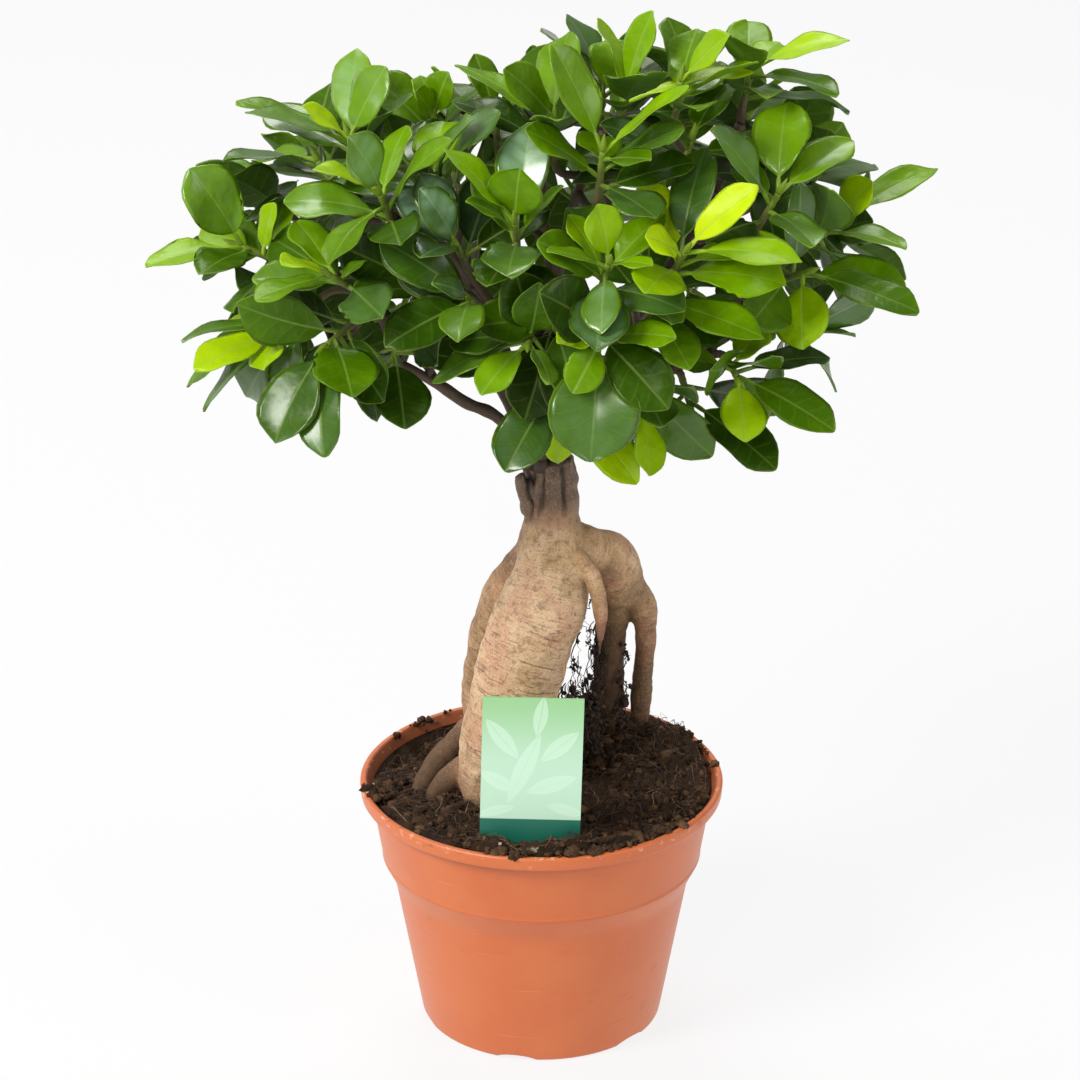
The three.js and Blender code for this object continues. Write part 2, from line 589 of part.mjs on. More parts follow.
// The places a set leaf may take, the wanted one first, as [chord, facing, width]
function* setLeafChoices(shoot, leaf, root) {
  const [clock, lean, length, width, roll] = leaf;
  for (const shrink of [1, 0.9]) {
    for (const nod of [0, 14, -14, 28, -28]) {
      for (const swing of [0, 7, -7, 14, -14]) {
        const way = clockWay(clock + swing, lean + nod);
        const chord = shoot.place.clone().addScaledVector(way, length * shrink).sub(root);
        const ahead = chord.clone().normalize();
        const broad = FRONT.clone().addScaledVector(ahead, -FRONT.dot(ahead)).normalize();
        let edge = ahead.clone().cross(broad);
        if (edge.z < 0) edge = edge.negate();
        const facing = broad.multiplyScalar(Math.cos(radians(roll)));
        facing.addScaledVector(edge, Math.sin(radians(roll)));
        yield [chord, facing, width * shrink];
      }
    }
  }
}

// The places a leaf may take by rule: round the shoot by the golden angle, lower leaves wider open,
// as [chord, facing, width]
function* ruleLeafChoices(shoot, order, index, root) {
  const draw = (channel) => chance(shoot.number * 16 + index, channel);
  const side = new THREE.Vector3(0, 1, 0).cross(shoot.heading).normalize();
  const other = shoot.heading.clone().cross(side);
  const open = [24, 40, 54, 66, 76, 86, 94][Math.min(6, order + Math.min(2, shoot.set.length))];
  const growth = [0.66, 0.8, 0.94, 1][Math.min(3, order + shoot.set.length)];
  const length = (LEAF_LENGTH + LEAF_SPREAD * draw(1)) * growth;
  const width = length * (LEAF_RATIO + 0.1 * (draw(2) - 0.5));
  for (const shrink of [1, 0.86]) {
    for (const nod of [0, -18, 18]) {
      for (const swing of [0, 24, -24, 48, -48, 72, -72]) {
        const turn = radians(GOLDEN_TURN * (index + 1) + 360 * chance(shoot.number, 3) + swing);
        const tilt = radians(open + nod + 10 * (draw(4) - 0.5));
        const way = shoot.heading.clone().multiplyScalar(Math.cos(tilt));
        way.addScaledVector(side, Math.sin(tilt) * Math.cos(turn));
        way.addScaledVector(other, Math.sin(tilt) * Math.sin(turn));
        const facing = shoot.heading.clone().addScaledVector(UP, 0.5);
        facing.addScaledVector(way.clone().cross(shoot.heading), 0.5 * (draw(5) - 0.5));
        yield [way.multiplyScalar(length * shrink), facing, width * shrink];
      }
    }
  }
}

// What has been placed, so that each leaf keeps clear of it
const placed = [];

function remember(body, node, owner = null, isLeaf = false) {
  const box = body.boundingBox();
  placed.push({ body, node, owner, isLeaf, low: box.min, high: box.max });
}

// Face of the stem that a leaf grows from: the end for the first, then one a ring down, on the side
// that the leaf leaves from
function hostOf(shoot, slot, chord) {
  const { positions, triangles, rings } = shoot.twig;
  const place = (i) => new THREE.Vector3().fromArray(positions, 3 * i);
  const faces = slot === 0
    ? [triangles.length / 3 - 1]
    : [0, 1, 2].map((side) => 2 * ((rings - 1 - slot) * TWIG_SIDES + side));
  const options = faces.map((face) => {
    const host = [0, 1, 2].map((i) => place(triangles[3 * face + i]));
    const normal = host[1].clone().sub(host[0]).cross(host[2].clone().sub(host[0])).normalize();
    return { face, host, normal, lean: normal.dot(chord) };
  });
  return options.sort((a, b) => b.lean - a.lean)[0];
}

// Whether a leaf is clear: its stalk leaves the stem, and its blade keeps clear of what is placed
function isClear(leaf, shoot, { host, normal }) {
  const corners = leafCorners(leaf);
  if (corners.some((corner) => corner.clone().sub(host[0]).dot(normal) < 0.15)) return false;
  const whole = leafSolid(leaf, host, 0.4);
  const bare = leafSolid(leaf, host);
  const blade = leafSolid(leaf, null, 0.4);
  const { min, max } = whole.boundingBox();
  const crosses = (a, b, limit) => {
    const shared = a.intersect(b);
    const touches = !shared.isEmpty() && shared.volume() > limit;
    shared.delete();
    return touches;
  };
  const hit = placed.some((other) => {
    if (other.low.some((low, i) => low > max[i] || other.high[i] < min[i])) return false;
    if (other.node !== shoot.bough) return crosses(other.body, whole, 0);
    if (other.owner === shoot && other.isLeaf && crosses(other.body, bare, 1e-4)) return true;
    return crosses(other.body, blade, 0);
  });
  [whole, bare, blade].forEach((body) => body.delete());
  return !hit;
}

// Grows a leaf out of a face of the shoot's mesh
function attach(shoot, leaf, { face, host }) {
  const { positions, triangles } = shoot.twig;
  const corners = leafCorners(leaf);
  const base = triangles.slice(3 * face, 3 * face + 3);
  const first = positions.length / 3;
  const stalk = stalkFaces(host, corners, first);
  shoot.grown.push(...stalk.map((corner) => (Array.isArray(corner) ? base[corner[1]] : corner)));
  shoot.grown.push(...LEAF_FACES.map((i) => i + first));
  positions.push(...flatten(corners));
  shoot.hosts.push(face);
}

function placeLeaf(shoot, slot, makeChoices) {
  const { spacing } = shoot.twig;
  const root = shoot.place.clone().addScaledVector(shoot.heading, -spacing * Math.max(0.2, slot - 0.5));
  const bend = radians(LEAF_BEND * (0.5 + chance(shoot.number, 6)));
  for (const [chord, facing, width] of makeChoices(root)) {
    const leaf = leafFrame(root, chord, facing, width, bend);
    const host = hostOf(shoot, slot, chord);
    if (isClear(leaf, shoot, host)) {
      remember(leafSolid(leaf, host.host), shoot.bough, shoot, true);
      attach(shoot, leaf, host);
      return;
    }
  }
}

// Open space that leaves placed by rule keep clear of: under the crown, the window over the lowest
// bough and the lower right, the last two as seen from the front and above
function isOpenSpace(chord, root) {
  const tip = root.clone().add(chord);
  const middle = root.clone().addScaledVector(chord, 0.5);
  const seen = (p) => p.z + 0.43 * p.y;
  const inWindow = (p) => p.x > -50 && p.x < -14 && p.y < 12 && seen(p) < 290;
  const isLowRight = (p) => p.x > 108 && seen(p) < 311;
  return tip.z < LOWEST_LEAF || [tip, middle].some((p) => inWindow(p) || isLowRight(p));
}

function growCrown() {
  const shoots = [];
  const wood = {};
  for (const [name, bough] of Object.entries(BOUGHS)) {
    const curve = boughCurve(bough);
    const places = curve.getPoints(BOUGH_STEPS);
    const ways = places.map((_, i) => curve.getTangent(i / BOUGH_STEPS));
    const radii = places.map((_, i) => BOUGH_RADIUS + ((TWIG_RADIUS - BOUGH_RADIUS) * i) / BOUGH_STEPS);
    const main = tube(places, ways, radii, BOUGH_SIDES);
    remember(main, name);
    wood[name] = [main];
    bough.shoots.forEach(([at, byRule, set], i) => {
      const place = vector(at);
      const shoot = { number: shoots.length, bough: name, place, byRule, grown: [], hosts: [] };
      shoot.heading = headingOf(place);
      shoot.set = [...set].sort((a, b) => openness(a, shoot.heading) - openness(b, shoot.heading));
      shoot.twig = twigOf(curve, place, shoot.heading, i === 0, byRule + set.length);
      remember(shoot.twig.body, name, shoot);
      shoots.push(shoot);
    });
  }
  for (let order = 0; order < 6; order++) {
    for (const shoot of shoots) {
      const leaf = shoot.set[order];
      if (leaf) placeLeaf(shoot, order, (root) => setLeafChoices(shoot, leaf, root));
    }
  }
  for (let order = 0; order < 6; order++) {
    for (const shoot of shoots) {
      const slot = shoot.set.length + order;
      if (order >= shoot.byRule) continue;
      placeLeaf(shoot, slot, (root) => {
        const choices = [...ruleLeafChoices(shoot, order, slot, root)];
        return choices.filter(([chord]) => !isOpenSpace(chord, root));
      });
    }
  }
  return Object.entries(wood).map(([name, pieces]) => {
    const leafy = shoots.filter((shoot) => shoot.bough === name).map(({ twig, grown, hosts }) => {
      const kept = twig.triangles.filter((_, i) => !hosts.includes(Math.floor(i / 3)));
      return solid(twig.positions, [...kept, ...grown]);
    });
    return [name, wasm.Manifold.union([...pieces, ...leafy])];
  });
}

const trunk = makeTrunk();
const card = makeCard();
const hollows = wasm.Manifold.union([
  ...ROOTS_IN_SOIL.map((name) => limb(ROOTS[name], ROOT_SIDES[name], FIT_GAP)),
  makeCard(FIT_GAP),
]);
remember(trunk, 'trunk');
remember(card, 'plant_label');

const plant = new THREE.Group();
plant.add(part('pot', makePot(), 0xc8704a, 0.5));
plant.add(part('soil', makeSoil(hollows), 0x33241c, 0.95));
plant.add(part('trunk', trunk, 0xa98f74, 0.8));
plant.add(part('plant_label', card, 0xb4e6c4, 0.4));
for (const [name, body] of growCrown()) plant.add(part(name, body, 0x3c7a22, 0.35));

export default plant;
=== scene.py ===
import itertools
import math
from collections import namedtuple
from functools import partial, reduce

import bpy
import numpy as np
from bpy.props import FloatProperty, FloatVectorProperty, IntProperty, PointerProperty
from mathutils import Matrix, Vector


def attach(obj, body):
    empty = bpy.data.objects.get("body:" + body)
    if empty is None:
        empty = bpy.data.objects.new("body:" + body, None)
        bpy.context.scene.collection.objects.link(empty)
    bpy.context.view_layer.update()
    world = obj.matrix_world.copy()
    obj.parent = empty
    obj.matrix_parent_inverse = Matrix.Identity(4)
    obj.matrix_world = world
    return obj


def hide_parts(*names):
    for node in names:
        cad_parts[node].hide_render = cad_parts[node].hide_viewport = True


bl_info = {
    "name": "Ginseng Ficus",
    "version": (1, 0, 0),
    "blender": (4, 5, 0),
    "location": "3D View > Sidebar > Ficus",
    "description": "A ginseng ficus in its nursery pot, built over its packed frame",
    "category": "Object",
}

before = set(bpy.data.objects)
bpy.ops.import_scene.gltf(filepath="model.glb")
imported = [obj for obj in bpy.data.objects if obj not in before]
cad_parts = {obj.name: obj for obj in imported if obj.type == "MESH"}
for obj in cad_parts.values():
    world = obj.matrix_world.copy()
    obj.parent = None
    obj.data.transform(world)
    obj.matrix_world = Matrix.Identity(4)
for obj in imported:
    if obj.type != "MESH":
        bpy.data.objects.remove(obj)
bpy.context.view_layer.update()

# Sizes repeated from the part's source, in millimetres and degrees
FIT_GAP = 0.35
POT_HEIGHT = 107
RIM_RADIUS = 75
RIM_WIDTH = 2.7
LIP_DROP = 6
COLLAR_BOTTOM = 72
BODY_TOP = 62
FOOT_RADIUS = 48.4
WALL = 1.25
CHANNEL_LIFT = 3
DRAIN_HOLES = 6
SOIL_LEVEL = 104
STUB_TOP = 249
CARD_WIDTH = 40
CARD_TOP = 171
CARD_BOTTOM = 99
CARD_THICK = 0.8
CARD_PLACE = (-5, -60)
CARD_LEAN = 1.5
CROWN_CENTRE = np.array([2, 0, 345])
CROWN_REACH = np.array([155, 115, 85])
VIEW_RISE = 23
LEAF_LENGTH = 35
LEAF_SPREAD = 11
LEAF_RATIO = 0.52
STALK_SHARE = 0.18
LEAF_SPACING = 2.9
LEAF_BEND = 26
LEAF_CUP = 0.16
GOLDEN_TURN = 137.5

# A millimetre in metres, and a metre in millimetres
MM = 0.001
METRE = 1000

UP = np.array([0.0, 0, 1])
RISE = math.radians(VIEW_RISE)
FRONT = np.array([0, -math.cos(RISE), math.sin(RISE)])
SEEN_UP = np.array([0, math.sin(RISE), math.cos(RISE)])

# Roots as in the part's source, to within 3 mm: [x, y, z, radius] from the crown into the soil
ROOTS = {
    "front_leg": [
        [5, -1.6, 223, 10.8], [5, -4, 215, 12.3], [4.5, -6.7, 207, 13.9], [3.1, -9.6, 198, 15.4],
        [-1.5, -14, 184, 17.2], [-6.9, -17, 168, 17.3], [-12.1, -19, 151, 16.9],
        [-16.6, -19, 131, 15.9], [-19.2, -16, 112, 14.5], [-20, -13, 97, 11.5], [-20, -11, 84, 8],
        [-19, -10, 74, 5],
    ],
    "left_leg": [
        [1.4, 3, 214, 8], [-1.5, 6, 205, 9], [-6, 9, 195, 10], [-13.2, 13, 180, 10.8],
        [-19, 17, 163, 10.8], [-22, 21, 140, 10], [-22, 26, 118, 9.2], [-21, 30, 100, 7.6],
        [-20, 33, 82, 4.5],
    ],
    "right_lobe": [
        [5, -2, 215, 9.4], [12.5, 1, 210.2, 10.5], [20.6, 5, 205, 10.9], [27.6, 10, 198.6, 11.6],
        [31.4, 14, 188.5, 10.8], [32.4, 16, 180, 7.4],
    ],
    "right_leg": [
        [29, 14, 196, 8], [30, 18, 180, 7.2], [29.5, 23, 160, 6], [28, 29, 140, 6.2], [27, 34, 122, 7],
        [26.5, 38, 104, 6.8], [26, 40, 84, 4],
    ],
    "outer_leg": [
        [34, 14, 188, 7.6], [41, 17, 177, 6], [42.7, 20, 163, 4.5], [42.2, 25, 148, 4.1],
        [42, 31, 132, 3.8], [41.2, 37, 116, 3.7], [40.8, 39, 102, 3.4], [40, 40, 88, 2.2],
    ],
    "back_leg": [
        [4, 2, 214, 9], [4, 10, 205, 10], [2, 22, 185, 9.6], [0, 31, 163, 8.8], [-2, 38, 140, 8.2],
        [-3, 43, 118, 7.6], [-3, 46, 100, 7], [-3, 47, 82, 4],
    ],
    "hanging_root": [
        [6, -6, 213.5, 4.4], [12, -10.5, 212, 4], [17.5, -15.3, 208.8, 3.5], [22, -18.5, 200.5, 2.9],
        [23.9, -19.5, 189, 2.3], [23.7, -19, 180, 1.8], [23.2, -18.4, 170, 1.1],
    ],
    "left_surface_root": [
        [-17, 22, 128, 6], [-24, 20, 122, 6.2], [-33, 16, 116, 5.6], [-41, 9, 111, 5],
        [-47, 1, 107, 4.2], [-52, -6, 101, 2.8],
    ],
    "front_surface_root": [
        [-15, 2, 120, 6], [-22, -4, 116, 6.2], [-32, -6, 112, 5.6], [-41, -12, 108, 4.6],
        [-47, -17, 101, 3],
    ],
    "neck": [
        [2.6, 0, 206, 13], [4.6, -1, 216, 12.4], [5, -1, 223, 10.8], [4.8, -0.5, 232, 10],
        [4.4, 0, 241, 9.6], [3.8, 0, STUB_TOP, 9.6],
    ],
    "bark_flap": [
        [-2, -4.5, 224, 2.2], [-5.6, -5.4, 233, 2.5], [-8.2, -6, 244, 1.9],
    ],
}

# Boughs as in the part's source, in its order: the foot, the route, then each shoot with its place,
# leaf colour and count of leaves by rule, and its set leaves, each [clock angle, lean towards the
# front, length, width, roll, colour]. Colours run from 0, old and dark, to 9, young and yellow-green
BOUGHS = {
    "bough_left_low": [
        [-5.2, -4.6],
        [[-18, -8, 270], [-30, -12, 277.5], [-42, -17, 288], [-60, -26, 301], [-80, -34, 308]],
        [[-101, -40, 315], 5, 3, [-159, 25, 38, 17, 40, 8], [168, -45, 34, 16, 50, 7],
         [-111, 55, 24, 16, 50, 7], [-180, -25, 44, 14, 65, 3], [-147, -25, 46, 14, 65, 3],
         [-138, -25, 46, 15, 65, 3]],
        [[-82, -60, 320], 2, 3, [-117, 10, 43, 25, 30, 2], [-90, 20, 46, 20, 30, 2],
         [-63, 40, 30, 25, 20, 3], [-57, -25, 38, 18, 50, 1]],
        [[-57, -45, 310], 1, 3, [-81, 25, 32, 22, 15, 1], [-5, -30, 40, 18, 30, 1]],
        [[-80, -62, 349], 5, 3, [123, -40, 34, 17, 35, 5], [168, 50, 28, 14, 70, 7],
         [27, -45, 20, 12, 65, 4], [-159, 45, 34, 18, 60, 4]],
        [[-45, -35, 333], 2, 4, [-168, 20, 40, 18, 50, 2]],
        [[-98, 8, 302], 3, 6],
    ],
    "bough_left_high": [
        [-7.2, 1.2], [[-13, 1, 272], [-26, -4, 300], [-44, -8, 330], [-60, -12, 358], [-69, -14, 374]],
        [[-74, -15, 388], 5, 3, [87, -25, 40, 18, 30, 5], [60, 35, 36, 18, 30, 5],
         [162, 0, 46, 17, 65, 4], [168, 25, 44, 16, 70, 4], [147, 30, 24, 10, 50, 8]],
        [[-61, -55, 379], 6, 4, [69, -25, 32, 15, 45, 5], [120, 40, 30, 20, 40, 4],
         [162, 30, 30, 14, 70, 7], [-123, 30, 38, 17, 55, 4]],
        [[-87, 0, 374], 4, 5, [177, -45, 36, 18, 65, 4]],
        [[-117, -15, 344], 6, 2, [123, 25, 38, 25, 25, 5], [-165, 30, 42, 17, 55, 6],
         [156, -40, 24, 14, 30, 6], [48, 35, 26, 11, 45, 6], [51, -35, 34, 18, 40, 5],
         [-138, 55, 32, 18, 40, 3]],
        [[-42, 0, 392], 4, 4, [69, 30, 20, 15, 35, 4], [108, -35, 22, 15, 40, 5],
         [33, -25, 26, 13, 65, 3], [129, 40, 18, 14, 45, 5]],
        [[-41, -40, 379], 4, 5, [81, -35, 30, 21, 25, 5]],
        [[-108, 24, 352], 4, 6],
    ],
    "bough_front": [
        [-0.4, -7.4], [[0, -14, 268], [1, -28, 288], [0, -44, 306], [-4, -58, 318]],
        [[-5, -78, 327], 3, 3, [-174, -20, 32, 17, 40, 2], [-132, 20, 28, 16, 35, 5],
         [-63, 30, 20, 13, 55, 4], [-159, -20, 42, 15, 50, 4]],
        [[-27, -72, 343], 5, 6],
        [[5, -62, 329], 2, 3, [-177, 25, 34, 19, 30, 2]],
        [[4, -58, 300], 3, 4, [-120, 20, 38, 22, 15, 2], [-84, -25, 30, 16, 35, 8],
         [-40, -10, 49, 20, 25, 7]],
        [[23, -84, 331], 1, 2, [-96, 0, 46, 34, 0, 3], [171, 30, 20, 14, 45, 7], [0, 25, 30, 15, 45, 5],
         [-120, 15, 24, 15, 0, 4]],
        [[25, -82, 361], 5, 3, [102, 25, 24, 17, 30, 6], [129, -30, 28, 15, 50, 6],
         [42, -25, 32, 16, 35, 5], [171, 25, 26, 11, 65, 5], [-6, 35, 20, 10, 60, 6],
         [-96, 25, 30, 15, 20, 4]],
        [[-10, -68, 372], 4, 3, [84, 35, 24, 22, 20, 4], [81, -20, 42, 21, 15, 3],
         [135, 20, 40, 16, 60, 5], [39, -25, 26, 12, 65, 5], [159, 35, 24, 10, 65, 4]],
        [[-32, -60, 360], 3, 6],
    ],
    "bough_right_low": [
        [6.6, -5], [[17, -14, 269], [34, -27, 286], [50, -40, 302], [64, -50, 312]],
        [[75, -55, 305], 5, 3, [-84, 25, 28, 18, 15, 7], [-30, 15, 44, 19, 30, 3],
         [60, -20, 24, 15, 35, 6], [12, -20, 40, 17, 55, 1], [165, 15, 29, 16, 50, 4]],
        [[38, -55, 296], 3, 3, [-84, 20, 32, 17, 45, 7], [-81, -30, 30, 15, 50, 2],
         [-54, 55, 24, 20, 30, 3]],
        [[57, -48, 292], 1, 4, [-39, 20, 45, 21, 35, 1]],
        [[42, -70, 343], 4, 4, [-21, 15, 46, 18, 40, 4], [-66, 40, 22, 15, 45, 4],
         [15, -25, 40, 15, 60, 2]],
        [[54, -72, 362], 8, 2, [42, 20, 38, 14, 25, 9], [120, -15, 36, 18, 25, 8],
         [6, -25, 44, 15, 45, 6], [-6, 15, 45, 15, 45, 6], [162, 35, 20, 15, 45, 8],
         [78, -25, 46, 18, 25, 2]],
        [[101, -45, 344], 5, 4, [-21, 20, 48, 18, 40, 3], [-93, 20, 32, 22, 20, 6]],
        [[114, -15, 352], 6, 3, [30, -15, 49, 15, 45, 5], [51, 35, 26, 17, 40, 7],
         [129, -35, 24, 16, 40, 7], [-21, 35, 34, 15, 60, 4]],
        [[101, -20, 308], 2, 4, [-54, -30, 30, 14, 75, 3], [3, -35, 28, 12, 75, 3]],
    ],
    "bough_right_high": [
        [9, 1.2], [[20, 2, 276], [38, 2, 308], [57, 0, 340], [70, -4, 368], [77, -4, 390]],
        [[81, 0, 411], 6, 4, [15, 15, 40, 14, 55, 7], [45, -35, 20, 15, 45, 5],
         [-21, 35, 42, 16, 60, 3]],
        [[57, -30, 392], 3, 6, [57, -35, 34, 17, 40, 3]],
        [[90, -45, 376], 5, 4, [84, -20, 38, 23, 20, 5], [36, -25, 40, 18, 40, 5],
         [147, -35, 24, 14, 45, 3]],
        [[53, -25, 414], 7, 4, [42, 30, 28, 15, 50, 6], [72, -30, 26, 20, 40, 4],
         [84, -40, 34, 14, 65, 4]],
        [[104, 16, 362], 4, 6], [[58, 24, 394], 5, 6],
    ],
    "bough_top": [
        [1.4, 0], [[2, -2, 275], [4, -6, 308], [8, -12, 342], [16, -18, 372], [24, -20, 392]],
        [[32, -15, 404], 6, 4, [72, 20, 36, 14, 40, 5], [108, -20, 36, 14, 65, 6],
         [18, 5, 50, 14, 65, 7]],
        [[5, -30, 400], 4, 4, [138, 35, 32, 19, 40, 4], [150, -15, 46, 15, 60, 4],
         [81, -20, 38, 20, 40, 4]],
        [[23, -55, 396], 5, 4, [117, 20, 46, 20, 40, 5], [36, 20, 42, 12, 65, 6],
         [108, -60, 18, 18, 25, 4], [-15, 40, 24, 13, 55, 3]],
        [[-18, 4, 390], 4, 6], [[24, 20, 400], 5, 6], [[0, 46, 380], 4, 6],
    ],
    "bough_back_left": [
        [-3.6, 6.6], [[-9, 15, 272], [-20, 30, 296], [-36, 44, 318], [-56, 56, 334]],
        [[-80, 66, 346], 4, 6], [[-112, 40, 322], 3, 6], [[-84, 62, 312], 2, 6], [[-88, 46, 352], 5, 6],
        [[-56, 50, 296], 2, 6], [[-46, 82, 326], 3, 6], [[-58, 60, 360], 5, 6], [[-36, 76, 344], 4, 6],
        [[-32, 38, 374], 5, 6], [[-8, 66, 302], 2, 6],
    ],
    "bough_back_right": [
        [5.6, 6.6], [[13, 15, 272], [26, 30, 296], [44, 44, 318], [62, 54, 334]],
        [[86, 64, 350], 5, 6], [[116, 38, 332], 4, 6], [[92, 58, 314], 3, 6], [[98, 42, 360], 5, 6],
        [[62, 56, 298], 2, 6], [[50, 80, 330], 3, 6], [[60, 66, 356], 5, 6], [[82, 36, 382], 6, 6],
        [[14, 82, 338], 4, 6], [[28, 62, 370], 5, 6],
    ],
}

# Per root: how pale its skin is, how much rough stub bark it has and how much soil stains its foot
BARK_TONES = {
    "front_leg": [0.88, 0, 0], "left_leg": [0.62, 0, 0], "right_lobe": [0.92, 0, 0],
    "right_leg": [0.42, 0, 0.9], "outer_leg": [0.56, 0, 0.55], "back_leg": [0.3, 0, 0.8],
    "hanging_root": [0.72, 0, 0], "left_surface_root": [0.3, 0, 0.6],
    "front_surface_root": [0.34, 0, 0.4], "neck": [0.44, 1, 0], "bark_flap": [0.3, 1, 0],
}

# Fine roots: [how many, the line on which they start, its spread, the line on which they end, its
# spread]
HAIR_ROWS = [
    [9, [[19, 3, 197], [14, 2, 150]], [1, 4, 3], [[18, 5, 182], [13, 2, 124]], [2, 5, 5]],
    [22, [[23.6, 14, 190], [23.4, 20, 150]], [0.5, 3, 3], [[23, 14, 165], [22, 22, 110]], [1.2, 5, 5]],
    [5, [[15, 8, 178], [12, 4, 140]], [2, 4, 3], [[24, 16, 160], [24, 22, 118]], [2, 4, 5]],
    [40, [[9, 10, 140], [22, 16, 136]], [2.5, 6, 6], [[8, 6, 108], [24, 12, 108]], [4, 6, 2]],
    [6, [[33.5, 18, 166], [34, 26, 130]], [1, 2, 3], [[34, 22, 140], [35, 30, 108]], [2, 3, 4]],
    [12, [[-24, 2, 150], [-30, 10, 112]], [1, 4, 3], [[-26, 0, 120], [-36, 4, 104]], [3, 4, 3]],
]

# Soil on the rim: [angle round the pot, spread, crumbs]
SPILLS = [
    [-76, 6, 110], [-62, 5, 60], [-100, 6, 50], [-42, 9, 40], [192, 4, 40], [30, 22, 40], [95, 40, 40],
]

# Rises and dips of the soil as in the part's source, and the small mounds that lie before the card
# and against the back rim: [x, y, spread, height]
SOIL_RISES = [[8, 24, 26, 9], [46, 30, 15, 6], [-48, 38, 22, -9]]
MOUNDS = [
    [13, -66, 6.5, 7.5], [-19, -65, 5.5, 6.5], [30, -60, 7, 3], [58, 22, 9, 3], [-40, -30, 8, 2],
    [40, -34, 10, 1.5],
]

# Wall of the pot from the middle of its underside out and up to the rim, then down inside it and in
# over its floor: [radius, height, rounding]
OUTER_WALL = [
    [0, 0, 0], [28, 0, 0.5], [29.5, CHANNEL_LIFT, 0.6], [46, CHANNEL_LIFT, 0.6], [46.4, 0, 0.4],
    [FOOT_RADIUS, 0, 0.5], [49.8, 1, 0.6], [50.3, 3, 1.2], [61.3, BODY_TOP + 1.8, 3],
    [65.9, COLLAR_BOTTOM + 1, 0.6], [66.25, 73.8, 0.4], [66.25, 74.4, 0.3], [66.15, 75.2, 0.4],
    [70.5, POT_HEIGHT - LIP_DROP, 1.3], [74.6, 101.3, 0.9], [RIM_RADIUS, 106.2, 0.35],
    [74.3, POT_HEIGHT, 0.35],
]
INNER_WALL = [
    [RIM_RADIUS - RIM_WIDTH, POT_HEIGHT, 0.9], [69.25, 100.5, 2], [64.45, 72.3, 4], [59.95, 62.4, 4.5],
    [49.25, 4.25, 1.5],
]
INNER_FLOOR = [[28.8, 4.25, 0.8], [27.6, WALL, 0.8], [0, WALL, 0]]

# Drain holes in the channel, and arched notches through the foot ring a turn further round
DRAIN_REACH = 37.5
DRAIN_RADIUS = 4
NOTCH_TURN = 108
NOTCH_RADIUS = 8.5
NOTCH_HEIGHT = 2.6

# Foot and top of the soil plug; how far out crumbs and fibres lie on it; the rim on which some lie
PLUG_BOTTOM = 4.6
PLUG_TOP = 103.5
SCATTER_REACH = 68.5
FIBRE_REACH = 68
LARGEST_CRUMB = 3.6
RIM_RADII = [66.5, 71.5, 73.6]
RIM_HEIGHTS = [105.6, 107.4, 107.2]

# Rounding of the card's edges in metres
CARD_EDGE = 0.00012

# Each root is known to its bark by its place in ROOTS times this
ROOT_MARK = 7.3

# A bud on its twig: [share of its length, radius]
BUD = [[0, 1.15], [0.12, 1.3], [0.3, 1.35], [0.5, 1.15], [0.72, 0.75], [0.9, 0.35], [1, 0.08]]

# Where leaves shine, as seen from the front: [across, up, share] from the middle of the plant
SHINY_PLACES = np.array([
    [-6, 141.5, 1], [-40, 124, 1], [-37, 95, 0.9], [19, 53, 0.6], [-72, 176, 0.8], [9, 191, 0.8],
    [-65, 173.5, 0.7], [-79, 71, 0.6], [70, 147, 0.7], [-72, 128, 0.8], [-28, 62, 0.6], [40, 88, 0.6],
    [23, 87, 0.8], [-129, 132.5, 0.6], [-70, 144.5, 0.85],
])
SEEN_MIDDLE = np.array([0, 0, 213.1])
SHINE_REACH = 6.5

# Width of a blade as a multiple of the straight-edged one in the source
BLADE_FULLNESS = 1.07

# Steps along a bough, and the first at which a twig may leave it
BOUGH_STEPS = 20
FIRST_TWIG_STEP = 6

# Leaves by rule from the tip of the shoot down: how far they open from the stem, and how far they
# have grown
OPENINGS = [24, 40, 54, 66, 76, 86, 94]
GROWTH = [0.66, 0.8, 0.94, 1]

# How near a leaf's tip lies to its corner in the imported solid, in millimetres
LEAF_MATCH = 0.05

# Printed leaves of the card: [across, height, angle, half length, half width]
SPRIG = [
    [-3, 140, 68, 17, 3.6], [8, 133, 20, 11, 3.4], [-13, 134, 150, 9, 3], [11, 150, 42, 10, 3.4],
    [-12, 153, 128, 11, 3.4], [3, 163, 82, 9, 2.8], [14, 122, -15, 8, 2.4], [-14, 121, 195, 8, 2.2],
]

# Colour ramps: [share, sRGB colour]
LEAF_STOPS = [
    [0, (26, 44, 4)], [0.12, (38, 66, 3)], [0.3, (60, 95, 1)], [0.45, (88, 126, 0)],
    [0.6, (112, 154, 0)], [0.76, (140, 176, 0)], [0.9, (166, 198, 5)], [1, (186, 210, 14)],
]
WOOD_STOPS = [[0, (62, 46, 36)], [0.4, (96, 76, 54)], [0.75, (104, 110, 44)], [1, (124, 150, 34)]]
BARK_STOPS = [[0, (46, 33, 22)], [0.22, (95, 67, 44)], [0.45, (151, 113, 77)], [0.75, (200, 159, 116)],
              [1, (225, 189, 150)]]
STUB_STOPS = [[0.2, (46, 32, 24)], [0.42, (100, 77, 62)], [0.66, (150, 122, 100)]]
SOIL_STOPS = [[0.3, (32, 22, 15)], [0.48, (68, 49, 34)], [0.62, (108, 79, 54)], [0.78, (146, 110, 78)]]
FIBRE_STOPS = [[0, (46, 31, 22)], [0.6, (74, 52, 36)], [0.92, (112, 84, 58)], [1, (170, 142, 106)]]

